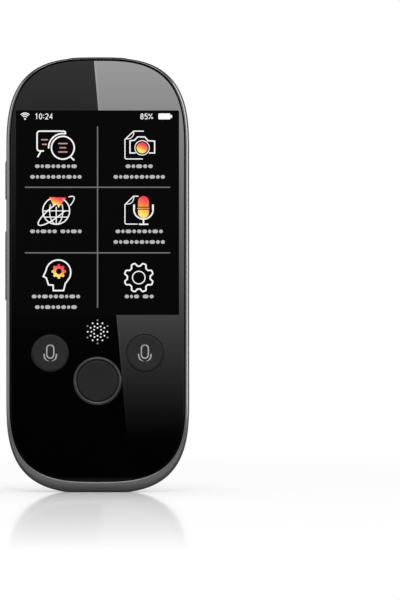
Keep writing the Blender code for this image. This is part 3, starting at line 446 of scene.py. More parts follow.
@dataclass(frozen=True)
class TurnedMetal(Finish):
    """Bright metal turned about an axis along Y, with the tool's fine rings."""

    colour: Colour
    centre: Point
    roughness: float = 0.22
    pitch: float = 0.00014
    depth: float = 0.0000004

    def paint(self, graph: Graph) -> None:
        """Rings about the centre in the normal and the gloss."""
        across, _, up = graph.axes()
        side = across - self.centre[0]
        rise = up - self.centre[1]
        radius = (side * side + rise * rise) ** 0.5
        rings = (radius + graph.noise(0.002) * 0.00004).wave(self.pitch)
        graph.surface(
            Base_Color=graph.mix(rings, shade(self.colour, 0.9), self.colour),
            Roughness=rings * 0.08 + self.roughness,
            Metallic=1.0,
        )
        graph.bump(rings, self.depth)


@dataclass(frozen=True)
class CoatedGlass(Finish):
    """Coated lens glass that mirrors blue, and paler where it slants."""

    near: Colour = (0.10, 0.13, 0.22)
    far: Colour = (0.20, 0.22, 0.24)

    def paint(self, graph: Graph) -> None:
        """Coating by the surface's slant, and faint dust in the gloss."""
        slant = graph.node("LayerWeight", sockets={0: 0.35}, output="Facing")
        dust = graph.noise(0.0003, 4.0).between(0.62, 0.80)
        graph.surface(
            Base_Color=graph.mix(slant, self.near, self.far),
            Roughness=dust * 0.08 + 0.10,
            Metallic=0.85,
        )


@dataclass(frozen=True)
class ClearGlass(Finish):
    """Clear glass or moulded light guide."""

    tint: Colour = (0.96, 0.98, 1.0)
    roughness: float = 0.0

    def paint(self, graph: Graph) -> None:
        """Clear body with faint dust on it."""
        dust = graph.noise(0.0004, 4.0).between(0.66, 0.82)
        graph.surface(
            Base_Color=graph.mix(dust, self.tint, shade(self.tint, 0.9)),
            Roughness=dust * 0.05 + self.roughness,
            Transmission_Weight=1.0,
            IOR=1.48,
        )


@dataclass(frozen=True)
class Weave(Finish):
    """Fine woven wire cloth."""

    pitch: float = 0.00022
    colour: Colour = (0.045, 0.045, 0.047)

    def paint(self, graph: Graph) -> None:
        """Two crossing sets of wires in colour, gloss and normal."""
        across, _, up = graph.axes()
        warp = across.wave(self.pitch)
        weft = up.wave(self.pitch)
        over = warp * (1.0 - weft) + weft * (1.0 - warp)
        graph.surface(
            Base_Color=graph.mix(over, shade(self.colour, 0.15), self.colour),
            Roughness=over * -0.2 + 0.6,
            Metallic=0.6,
        )
        graph.bump(over, self.pitch * 0.25)


@dataclass(frozen=True)
class CircuitBoard(Finish):
    """Solder mask over copper runs, with bare pads and small dark parts."""

    mask: Colour = (0.010, 0.050, 0.028)
    track: Colour = (0.022, 0.100, 0.055)
    pad: Colour = (0.72, 0.50, 0.22)

    def paint(self, graph: Graph) -> None:
        """Runs along Z that jog from cell to cell, and rows of pads in some patches."""
        across, _, up = graph.axes()
        jog = graph.cells(0.004) * 0.002
        runs = (across + jog).wave(0.0007).between(0.55, 0.70)
        turns = (up + jog).wave(0.0011).between(0.86, 0.94)
        tracks = runs * (1.0 - turns) + turns * 0.5
        patches = graph.noise(0.006, 1.0).between(0.57, 0.60)
        pads = (across.wave(0.0010) * up.wave(0.0014)).between(0.60, 0.66) * patches
        mask = graph.mix(tracks, self.mask, self.track)
        graph.surface(
            Base_Color=graph.mix(pads, mask, self.pad),
            Roughness=0.42 - pads * 0.12 + graph.noise(0.002) * 0.1,
            Metallic=pads,
            Coat_Weight=0.3,
        )
        graph.bump(tracks * 0.5 + pads * 0.5, 0.00003)


@dataclass(frozen=True)
class RibbonFilm(Finish):
    """Amber film with copper runs showing through, along the ribbon."""

    film: Colour = (0.30, 0.12, 0.020)
    copper: Colour = (0.55, 0.25, 0.07)
    pitch: float = 0.0005

    def paint(self, graph: Graph) -> None:
        """Runs side by side across X."""
        across = graph.axes()[0]
        runs = across.wave(self.pitch).between(0.40, 0.60)
        graph.surface(
            Base_Color=graph.mix(runs, self.film, self.copper),
            Roughness=graph.noise(0.001) * 0.15 + 0.28,
            Metallic=runs * 0.4,
        )
        graph.bump(runs, 0.00002)


@dataclass(frozen=True)
class CellFoil(Finish):
    """Crimped foil of a pouch cell with soft creases."""

    colour: Colour = (0.30, 0.32, 0.35)

    def paint(self, graph: Graph) -> None:
        """Creases and a slow change of sheen."""
        creases = graph.cells(0.009, "DISTANCE_TO_EDGE").between(0.0, 0.12)
        ripple = graph.noise(0.002, 4.0)
        graph.surface(
            Base_Color=graph.mix(ripple, shade(self.colour, 0.85), shade(self.colour, 1.1)),
            Roughness=ripple * 0.15 + 0.30,
            Metallic=0.85,
        )
        graph.bump(creases * 0.6 + ripple * 0.4, 0.00008)


BAND_METAL = BandMetal(
    "dark_blasted_metal",
    (0.230, 0.231, 0.237),
    0.19,
    0.95,
    size=0.00009,
    depth=0.000003,
    spread=0.05,
    edge_tint=0.12,
)
KEY_METAL = Grained(
    "key_metal", (0.160, 0.161, 0.166), 0.24, 0.95, Grain.BRUSHED, 0.00007, 0.000003, 0.06
)
# Dark metallic paint; the lighter band along its shoulder is a painted highlight.
COVER_PAINT = ShoulderHighlightPaint(
    "cover_paint", (0.045, 0.045, 0.046), 0.36, 0.90, Grain.MOULDED, 0.00014, 0.000003, 0.06
)
TRIM_PLASTIC = Grained("trim_plastic", (0.012, 0.012, 0.013), 0.45, grain=Grain.MOULDED)
BUTTON_PLASTIC = Grained(
    "talk_button_plastic",
    (0.009, 0.009, 0.0095),
    0.34,
    size=0.00008,
    depth=0.000003,
    spread=0.06,
    shine=0.40,
)
HOME_PLASTIC = Grained(
    "home_plastic",
    (0.007, 0.007, 0.0075),
    0.40,
    size=0.00008,
    depth=0.000003,
    spread=0.04,
    shine=0.35,
)
DARK_PLASTIC = Grained("black_moulded_plastic", (0.014, 0.014, 0.015), 0.45, grain=Grain.MOULDED)
BEZEL_METAL = Grained(
    "bezel_metal", (0.006, 0.006, 0.007), 0.22, size=0.00007, depth=0.000002, spread=0.05, shine=0.3
)
LENS_RING_METAL = Grained(
    "lens_ring_metal", (0.16, 0.17, 0.19), 0.20, 1.0, size=0.00007, depth=0.000002, spread=0.05
)
WHITE_PLASTIC = Grained("ivory_moulded_plastic", (0.74, 0.73, 0.70), 0.42, grain=Grain.MOULDED)
SOFT_RUBBER = Grained("black_soft_rubber", (0.024, 0.024, 0.025), 0.75, size=0.0002, depth=0.00001)
# Near black with almost no gloss: a seal in the glass seam that also stands in as painted shade for
# the seam.
SEAL_SHADE_RUBBER = Grained(
    "seal_shade_rubber", (0.0010, 0.0010, 0.0011), 0.80, size=0.0002, depth=0.00001, shine=0.02
)
SPRING_STEEL = Grained("spring_steel", (0.55, 0.55, 0.56), 0.28, 1.0, Grain.BRUSHED)
SHIELD_STEEL = Grained("shield_steel", (0.62, 0.61, 0.58), 0.36, 1.0, size=0.0002)
TRAY_STEEL = Grained("brushed_tray_steel", (0.50, 0.50, 0.51), 0.32, 1.0, Grain.BRUSHED, 0.0002)
GOLD_CONTACT = Grained("gold_contact", (0.78, 0.56, 0.25), 0.25, 1.0, size=0.00005)
ICON_INK = Grained("icon_ink", (0.36, 0.36, 0.36), 0.45, size=0.0001, spread=0.05)
FRONT_GLASS = InkedGlass("black_inked_glass")
DISPLAY_FACE = DisplayBlack("display_face")
LENS_COATING = CoatedGlass("lens_coating", (0.05, 0.065, 0.105), (0.16, 0.17, 0.19))
PUPIL_GLASS = CoatedGlass("pupil_glass", (0.020, 0.022, 0.030), (0.05, 0.05, 0.06))
WINDOW_GLASS = ClearGlass("window_glass")
GUIDE_CLEAR = ClearGlass("guide_clear", roughness=0.25)
WIRE_CLOTH = Weave("wire_cloth")
BOARD_GREEN = CircuitBoard("board_green")
FLEX_FILM = RibbonFilm("amber_ribbon_film")
POUCH_FOIL = CellFoil("creased_pouch_foil")
WHITE_GLOW = Glow("white_glow")
LABEL_GLOW = Glow("label_glow", (0.50, 0.50, 0.50))
SPEECH_GLOW = Glow("speech_glow", (0.52, 0.34, 0.31))
LINE_GLOW = Glow("line_glow", (0.17, 0.17, 0.17))
DOT_GLOW = Glow("dot_glow", (0.92, 0.92, 0.94))
FAINT_DOT_GLOW = Glow("faint_dot_glow", (0.30, 0.30, 0.31))


# Mesh helpers


def section(axis: str, points: Iterable[Point], along: float) -> Ring:
    """Points of a flat outline, set at one place along an axis.

    Args:
        axis: Axis that the outline is square to.
        points: Outline in the other two axes, in their order.
        along: Place along the axis.

    Returns:
        The outline in space.
    """
    if axis == "X":
        return [Vector((along, u, v)) for u, v in points]
    if axis == "Y":
        return [Vector((u, along, v)) for u, v in points]
    return [Vector((u, v, along)) for u, v in points]


def add_loft(work: bmesh.types.BMesh, rings: Sequence[Ring], closed: bool = False) -> None:
    """Add a closed skin through rings of equal point counts.

    Args:
        work: Mesh that takes the skin.
        rings: Rings in order.
        closed: Whether the last ring joins the first, as in a tube.
    """
    made = [[work.verts.new(point) for point in ring] for ring in rings]
    pairs = list(zip(made, made[1:]))
    if closed:
        pairs.append((made[-1], made[0]))
    faces = []
    for near, far in pairs:
        for index, vertex in enumerate(near):
            after = (index + 1) % len(near)
            faces.append(work.faces.new((vertex, near[after], far[after], far[index])))
    if not closed:
        faces.append(work.faces.new(made[0]))
        faces.append(work.faces.new(made[-1]))
    bmesh.ops.recalc_face_normals(work, faces=faces)


def to_object(name: str, work: bmesh.types.BMesh) -> bpy.types.Object:
    """Turn a finished bmesh into an object in the scene.

    Args:
        name: Name of the object.
        work: Mesh to turn, which is freed.

    Returns:
        The object, shaded smooth with sharp edges.
    """
    mesh = bpy.data.meshes.new(name)
    work.to_mesh(mesh)
    work.free()
    mesh.shade_smooth()
    mesh.set_sharp_from_angle(angle=SHARP_ANGLE)
    piece = bpy.data.objects.new(name, mesh)
    bpy.context.scene.collection.objects.link(piece)
    return piece


def loft(name: str, rings: Sequence[Ring], closed: bool = False) -> bpy.types.Object:
    """One solid through rings.

    Args:
        name: Name of the piece.
        rings: Rings in order.
        closed: Whether the last ring joins the first.

    Returns:
        The piece.
    """
    work = bmesh.new()
    add_loft(work, rings, closed)
    return to_object(name, work)


def settle(piece: bpy.types.Object) -> None:
    """Apply the piece's modifiers to its mesh.

    Args:
        piece: Piece whose modifiers are applied and dropped.
    """
    graph = bpy.context.evaluated_depsgraph_get()
    mesh = bpy.data.meshes.new_from_object(piece.evaluated_get(graph))
    piece.modifiers.clear()
    piece.data = mesh


def carve(piece: bpy.types.Object, *cutters: bpy.types.Object) -> None:
    """Cut solids out of a piece for good, and drop the cutters.

    Args:
        piece: Piece that is cut.
        *cutters: Solids to cut out of it.
    """
    for cutter in cutters:
        change = piece.modifiers.new(cutter.name, "BOOLEAN")
        change.operation = "DIFFERENCE"
        change.solver = "EXACT"
        change.object = cutter
    settle(piece)
    for cutter in cutters:
        bpy.data.objects.remove(cutter, do_unlink=True)


def polish(piece: bpy.types.Object) -> None:
    """Shade smooth with sharp edges, and let large faces keep their own normals.

    Args:
        piece: Piece to shade.
    """
    piece.data.shade_smooth()
    piece.data.set_sharp_from_angle(angle=SHARP_ANGLE)
    weigh = piece.modifiers.new("normals", "WEIGHTED_NORMAL")
    weigh.keep_sharp = True
    weigh.weight = 100
    settle(piece)


def circle(centre: Point, radius: float, steps: int = 64) -> list[Point]:
    """Points round a circle.

    Args:
        centre: Middle of the circle.
        radius: Its radius.
        steps: Number of points.

    Returns:
        The points.
    """
    turns = [2 * pi * index / steps for index in range(steps)]
    return [(centre[0] + radius * cos(turn), centre[1] + radius * sin(turn)) for turn in turns]


def arc(centre: Point, radius: float, first: float, last: float, steps: int = 24) -> list[Point]:
    """Points along an arc between two angles in degrees.

    Args:
        centre: Middle of the arc.
        radius: Its radius.
        first: Angle of the first point.
        last: Angle of the last point.
        steps: Number of stretches between the points.

    Returns:
        The points.
    """
    turns = [radians(first + (last - first) * step / steps) for step in range(steps + 1)]
    return [(centre[0] + radius * cos(turn), centre[1] + radius * sin(turn)) for turn in turns]


def rounded_box(centre: Point, size: Point, radius: float, steps: int = 10) -> list[Point]:
    """Rectangle with round corners.

    Args:
        centre: Middle of the rectangle.
        size: Its width and its height.
        radius: Radius of its corners.
        steps: Number of stretches in each corner.

    Returns:
        Points round the rectangle.
    """
    points: list[Point] = []
    for quarter, (side, end) in enumerate(((1, 1), (-1, 1), (-1, -1), (1, -1))):
        corner = (
            centre[0] + side * (size[0] / 2 - radius),
            centre[1] + end * (size[1] / 2 - radius),
        )
        points += arc(corner, radius, 90 * quarter, 90 * (quarter + 1), steps)
    return points


def prism(name: str, axis: str, points: list[Point], start: float, end: float) -> bpy.types.Object:
    """Outline pushed along an axis.

    Args:
        name: Name of the piece.
        axis: Axis that the outline is square to.
        points: The outline.
        start: Place of one end.
        end: Place of the other end.

    Returns:
        The piece.
    """
    return loft(name, [section(axis, points, start), section(axis, points, end)])


def turned(
    name: str,
    centre: Point,
    profile: Sequence[Point],
    closed: bool = False,
    steps: int = 96,
    axis: str = "Y",
) -> bpy.types.Object:
    """Piece turned about an axis through a centre.

    Args:
        name: Name of the piece.
        centre: Where the axis passes.
        profile: Radius and place along the axis, in order.
        closed: Whether the profile closes on itself, as in a ring.
        steps: Facets round the piece.
        axis: Axis that the piece is turned about.

    Returns:
        The turned piece.
    """
    rings = [section(axis, circle(centre, radius, steps), along) for radius, along in profile]
    return loft(name, rings, closed)


def dress(piece: bpy.types.Object, finish: Finish, body: str) -> None:
    """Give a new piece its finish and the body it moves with.

    Args:
        piece: The new piece.
        finish: Its finish.
        body: Body that it moves with.
    """
    piece.data.materials.clear()
    piece.data.materials.append(finish.material())
    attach(piece, body)
    LOG.info("built %s on %s", piece.name, body)


# The body's outline


@lru_cache(maxsize=None)
def quarter_shares(exponent: float, steps: int) -> tuple[Point, ...]:
    """Quarter of a superellipse from its side to its tip, evenly spaced along the curve.

    Args:
        exponent: Exponent of the superellipse; 2 is an ellipse.
        steps: Number of stretches between the points.

    Returns:
        Shares of the half width and of the end's length, from 0 to 1.
    """
    fine = steps * 30
    turns = [pi / 2 * index / fine for index in range(fine + 1)]
    curve = [(cos(turn) ** (2 / exponent), sin(turn) ** (2 / exponent)) for turn in turns]
    lengths = [0.0]
    for before, after in zip(curve, curve[1:]):
        lengths.append(lengths[-1] + hypot(after[0] - before[0], after[1] - before[1]))
    chosen = []
    index = 0
    for step in range(steps + 1):
        while index < fine and lengths[index] < lengths[-1] * step / steps - 1e-9:
            index += 1
        chosen.append(curve[index])
    return tuple(chosen)


@dataclass(frozen=True)
class Shape:
    """The body's driving sizes and its outlines seen from the front."""

    width: float = 0.0535
    height: float = 0.1270
    depth: float = 0.0126
    end_length: float = 0.0280
    exponent: float = 3.0
    foot_cut: float = 0.0003
    glass_side: float = 0.00145
    glass_top: float = 0.0010
    glass_chin: float = 0.0034
    glass_top_length: float = 0.0270
    glass_chin_length: float = 0.0240
    steps: int = 40

    @property
    def front(self) -> float:
        """Place of the front face."""
        return -self.depth / 2

    @property
    def back(self) -> float:
        """Place of the back face."""
        return self.depth / 2

    def outline(self, half: float, low: float, high: float, ends: Point, inset: float) -> list[Point]:
        """Outline with straight sides and superellipse ends, moved inwards square to itself.

        Args:
            half: Half of the width.
            low: Lowest place.
            high: Highest place.
            ends: Lengths of the lower and the upper end.
            inset: How far the outline is moved inwards.

        Returns:
            Points round the outline.
        """
        shares = quarter_shares(self.exponent, self.steps)
        quarters = (
            (1, 1, shares),
            (-1, 1, shares[-2::-1]),
            (-1, -1, shares),
            (1, -1, shares[-2:0:-1]),
        )
        points = []
        for side, end, run in quarters:
            length = ends[1] if end > 0 else ends[0]
            base = high - length if end > 0 else low + length
            for across, along in run:
                slope = Vector(
                    (
                        side * across ** (self.exponent - 1) / half,
                        end * along ** (self.exponent - 1) / length,
                    )
                ).normalized()
                u = side * across * half - slope.x * inset
                points.append((u, base + end * along * length - slope.y * inset))
        return points

    def outer(self, inset: float = 0.0, on_foot: bool = True) -> list[Point]:
        """The silhouette.

        Args:
            inset: How far the outline is moved inwards.
            on_foot: Whether it is cut level at the foot.

        Returns:
            Points round the silhouette.
        """
        ends = (self.end_length, self.end_length)
        points = self.outline(self.width / 2, -self.foot_cut, self.height, ends, inset)
        return [(u, max(v, 0.0)) for u, v in points] if on_foot else points

    def glass(self, inset: float = 0.0) -> list[Point]:
        """The cover glass's outline."""
        return self.outline(
            self.width / 2 - self.glass_side,
            self.glass_chin,
            self.height - self.glass_top,
            (self.glass_chin_length, self.glass_top_length),
            inset,
        )

    def top_at(self, x: float) -> float:
        """Height of the silhouette over a place across the top."""
        share = (1 - abs(2 * x / self.width) ** self.exponent) ** (1 / self.exponent)
        return self.height - self.end_length * (1 - share)


def blend(near: list[Point], far: list[Point], share: float) -> list[Point]:
    """Outline part of the way from one to another.

    Args:
        near: First outline.
        far: Second outline, with as many points.
        share: How far to go, from 0 to 1.

    Returns:
        The outline between them.
    """
    return [
        (u0 + (u1 - u0) * share, v0 + (v1 - v0) * share)
        for (u0, v0), (u1, v1) in zip(near, far, strict=True)
    ]


# Sub-assemblies


@dataclass
class Band:
    """Metal band and the deck across it, with its slots, socket way and pinhole."""

    shape: Shape
    seam: float = 0.00040
    rim_drop: float = 0.0001
    rim_depth: float = 0.0024
    band_end: float = 0.0020
    band_round: float = 0.0008
    band_tuck: float = 0.0006
    wall: float = 0.0015
    ledge: float = 0.0005
    ledge_y: float = -0.0052
    gasket_drop: float = 0.0003
    gasket_slack: float = 0.00001
    cut_width: float = 0.00018
    cut_depth: float = 0.00008
    deck_front: float = -0.0022
    deck_back: float = -0.0014
    key_y: float = -0.0006
    key_width: float = 0.0022
    key_slots: tuple[Point, ...] = ((0.0912, 0.0113), (0.0662, 0.0203))
    socket: tuple[float, float, float] = (0.00934, 0.00366, 0.0080)
    socket_y: float = -0.0014
    pinhole: tuple[float, float] = (0.0078, 0.0004)
    trim_half: float = 0.00845
    trim_width: float = 0.0030
    trim_sink: float = 0.0012
    trim_y: float = -0.0014
    steps: int = 12

    def build(self) -> None:
        """Loft the band, cut its openings and lay the glass seal, whose black is partly painted shade
        for the seam.
        """
        shape = self.shape
        rim = shape.glass(-self.seam)
        ledge = shape.glass(self.ledge)
        outer = shape.outer()
        rim_y = shape.front + self.rim_drop
        rings = [
            section("Y", ledge, self.deck_front),
            section("Y", ledge, self.ledge_y),
            section("Y", rim, self.ledge_y),
            section("Y", rim, rim_y + self.cut_depth),
        ]
        crest = shape.glass(-self.seam - self.cut_width)
        for step in range(self.steps + 1):
            turn = pi / 2 * step / self.steps
            depth = rim_y + self.rim_depth * (1 - cos(turn))
            rings.append(section("Y", blend(crest, outer, sin(turn)), depth))
        for step in range(self.steps // 2 + 1):
            turn = pi / 2 * step / (self.steps // 2)
            points = shape.outer(self.band_tuck * (1 - cos(turn)))
            rings.append(section("Y", points, self.band_end - self.band_round * (1 - sin(turn))))
        inner = shape.outer(self.wall, on_foot=False)
        rings.append(section("Y", inner, self.band_end))
        rings.append(section("Y", inner, self.deck_back))
        band = loft("band", rings)
        carve(band, *self.key_cutters(), *self.foot_cutters(), self.trim_cutter())
        polish(band)
        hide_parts("mid_frame")
        dress(band, BAND_METAL, "housing")
        self.gasket()

    def gasket(self) -> None:
        """Lay a near-black seal in the seam between the glass and the band; it is a seal and also
        painted shade for the seam.
        """
        near = self.shape.glass(-self.gasket_slack)
        far = self.shape.glass(2 * self.gasket_slack - self.seam)
        front = self.shape.front + self.gasket_drop
        foot = self.ledge_y - self.gasket_slack
        rings = [
            section("Y", near, foot),
            section("Y", near, front),
            section("Y", far, front),
            section("Y", far, foot),
        ]
        dress(loft("glass_seal_shade", rings, closed=True), SEAL_SHADE_RUBBER, "housing")

    def key_cutters(self) -> list[bpy.types.Object]:
        """Slots for the two side keys."""
        cutters = []
        wall_x = -self.shape.width / 2
        for centre, length in self.key_slots:
            size = (self.key_width + 2 * self.seam, length + 2 * self.seam)
            points = rounded_box((self.key_y, centre), size, size[0] / 2)
            cutters.append(prism("slot", "X", points, wall_x - OVERRUN, wall_x + 2 * self.wall))
        return cutters

    def foot_cutters(self) -> list[bpy.types.Object]:
        """Way of the charging socket and pinhole of the microphone, with a fine countersink."""
        width, height, length = self.socket
        points = rounded_box((0.0, self.socket_y), (width, height), height / 2, 16)
        way = prism("way", "Z", points, -OVERRUN, length)
        x, radius = self.pinhole
        profile = [
            (radius * 2.2, -radius),
            (radius * 1.25, radius * 0.25),
            (radius, radius * 0.5),
            (radius, self.wall + OVERRUN),
        ]
        hole = turned("hole", (x, self.socket_y), profile, steps=32, axis="Z")
        return [way, hole]

    def trim_cutter(self) -> bpy.types.Object:
        """Seat of the trim in the top edge."""
        half = self.trim_half + self.seam
        places = [half * (step / 8 - 1) for step in range(17)]
        crest = [(x, self.shape.top_at(x) + OVERRUN) for x in places]
        seat = [(x, self.shape.top_at(x) - self.trim_sink) for x in reversed(places)]
        reach = self.trim_width / 2 + self.seam
        return prism("seat", "Y", crest + seat, self.trim_y - reach, self.trim_y + reach)


@dataclass
class TopTrim:
    """Thin dark window let into the top edge, with rounded long edges."""

    shape: Shape
    length: float = 0.0169
    width: float = 0.0030
    proud: float = 0.0002
    sink: float = 0.0010
    centre_y: float = -0.0014
    edge: float = 0.0001

    def outline(self, proud: float, shrink: float) -> list[Point]:
        """Outline seen from the front, with its ends drawn in."""
        half = self.length / 2 - shrink
        places = [half * (step / 16 - 1) for step in range(33)]
        crest = [(x, self.shape.top_at(x) + proud) for x in places]
        seat = [(x, self.shape.top_at(x) - self.sink) for x in reversed(places)]
        return crest + seat

    def build(self) -> None:
        """Loft the trim from its front to its back edge."""
        reach = self.width / 2
        rings = []
        for side in (-1, 1):
            steps = (0, 1, 2) if side < 0 else (2, 1, 0)
            for step in steps:
                turn = pi / 4 * step
                drop = self.edge * (1 - sin(turn))
                depth = self.centre_y + side * (reach - self.edge * (1 - cos(turn)))
                rings.append(section("Y", self.outline(self.proud - drop, drop), depth))
        trim = loft("trim_window", rings)
        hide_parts("top_trim")
        dress(trim, TRIM_PLASTIC, "housing")


@dataclass
class CoverGlass:
    """Flat black glass with a ground edge and three button holes."""

    shape: Shape
    thickness: float = 0.0008
    bevel: float = 0.00008
    chamfer: float = 0.00005
    holes: tuple[tuple[float, float, float], ...] = (
        (-0.0138, 0.0407, 0.0055),
        (0.0138, 0.0407, 0.0055),
        (0.0, 0.0326, 0.00705),
    )

    def build(self) -> None:
        """Loft the glass and bore its holes, each with a fine chamfer."""
        front = self.shape.front
        rings = []
        for step in range(5):
            turn = pi / 8 * step
            inset = self.bevel * (1 - sin(turn))
            rings.append(section("Y", self.shape.glass(inset), front + self.bevel * (1 - cos(turn))))
        rings.append(section("Y", self.shape.glass(), front + self.thickness))
        glass = loft("front_glass", rings)
        cutters = []
        for x, z, radius in self.holes:
            profile = [
                (radius + self.chamfer * 2, front - self.chamfer),
                (radius, front + self.chamfer),
                (radius, front + self.thickness + OVERRUN),
            ]
            cutters.append(turned("bore", (x, z), profile, steps=128))
        carve(glass, *cutters)
        polish(glass)
        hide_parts("cover_glass")
        dress(glass, FRONT_GLASS, "housing")


class Pen:
    """Draws thin raised marks on a flat face that looks along -Y, all in one mesh."""

    def __init__(self, name: str, face: float, thickness: float = 0.00001) -> None:
        """Start an empty drawing.

        Args:
            name: Name of the piece that holds the marks.
            face: Place of the face's surface along Y.
            thickness: How far the marks stand out of the face.
        """
        self.name = name
        self.near = face
        self.far = face - thickness
        self.work = bmesh.new()

    def plate(self, outline: Sequence[Point]) -> None:
        """Add a filled outline."""
        add_loft(self.work, [section("Y", outline, self.near), section("Y", outline, self.far)])

    def stroke(self, path: Sequence[Point], width: float, closed: bool = False) -> None:
        """Add a line of one width along a path.

        Args:
            path: Points along the middle of the line.
            width: Width of the line.
            closed: Whether the line returns to its start.
        """
        corners = [Vector(point) for point in path]
        count = len(corners)
        rings = []
        for index, corner in enumerate(corners):
            before = corners[(index - 1) % count] if closed or index else corner
            after = corners[(index + 1) % count] if closed or index < count - 1 else corner
            run_in = (corner - before if corner != before else after - corner).normalized()
            run_out = (after - corner if corner != after else corner - before).normalized()
            square = Vector((-run_in.y, run_in.x))
            mitre = square + Vector((-run_out.y, run_out.x))
            mitre = mitre.normalized() if mitre.length > 1e-6 else square
            shift = mitre * (width / 2 / max(mitre.dot(square), 0.4))
            left = corner + shift
            right = corner - shift
            rings.append(
                [
                    Vector((left.x, self.near, left.y)),
                    Vector((right.x, self.near, right.y)),
                    Vector((right.x, self.far, right.y)),
                    Vector((left.x, self.far, left.y)),
                ]
            )
        add_loft(self.work, rings, closed)

    def bar(self, centre: Point, length: float, width: float) -> None:
        """Add a short bar with round ends."""
        self.plate(rounded_box(centre, (length, width), width / 2, 5))

    def done(self, finish: Finish, body: str, slot: str) -> None:
        """Make the piece, flat shaded, and dress it."""
        piece = to_object(self.name, self.work)
        piece.data.shade_flat()
        dress(piece, finish, body)


def bow(centre: Point, reach: Point, first: float, last: float, steps: int = 12) -> list[Point]:
    """Points along part of an ellipse between two angles in degrees.

    Args:
        centre: Middle of the ellipse.
        reach: Its half width and half height.
        first: Angle of the first point.
        last: Angle of the last point.
        steps: Number of stretches between the points.

    Returns:
        The points.
    """
    turns = [radians(first + (last - first) * step / steps) for step in range(steps + 1)]
    return [
        (centre[0] + reach[0] * cos(turn), centre[1] + reach[1] * sin(turn)) for turn in turns
    ]


def digit_paths(sign: str) -> list[list[Point]]:
    """Lines that draw one digit in a box 1 wide and 2 high round (0.5, 0).

    Args:
        sign: The digit.

    Returns:
        The digit's lines.
    """
    paths = {
        "0": [bow((0.5, 0.0), (0.48, 1.0), 90, 450, 20)],
        "1": [[(0.15, 0.60), (0.60, 1.0), (0.60, -1.0)]],
        "2": [bow((0.5, 0.5), (0.47, 0.5), 165, -40) + [(0.0, -1.0), (1.0, -1.0)]],
        "4": [[(0.78, -1.0), (0.78, 1.0), (0.0, -0.40), (1.0, -0.40)]],
        "5": [[(0.92, 1.0), (0.16, 1.0), (0.10, 0.10)] + bow((0.45, -0.38), (0.52, 0.62), 110, -145)],
        "8": [bow((0.5, 0.5), (0.40, 0.5), -90, 270), bow((0.5, -0.5), (0.48, 0.5), 90, 450)],
    }
    return paths[sign]


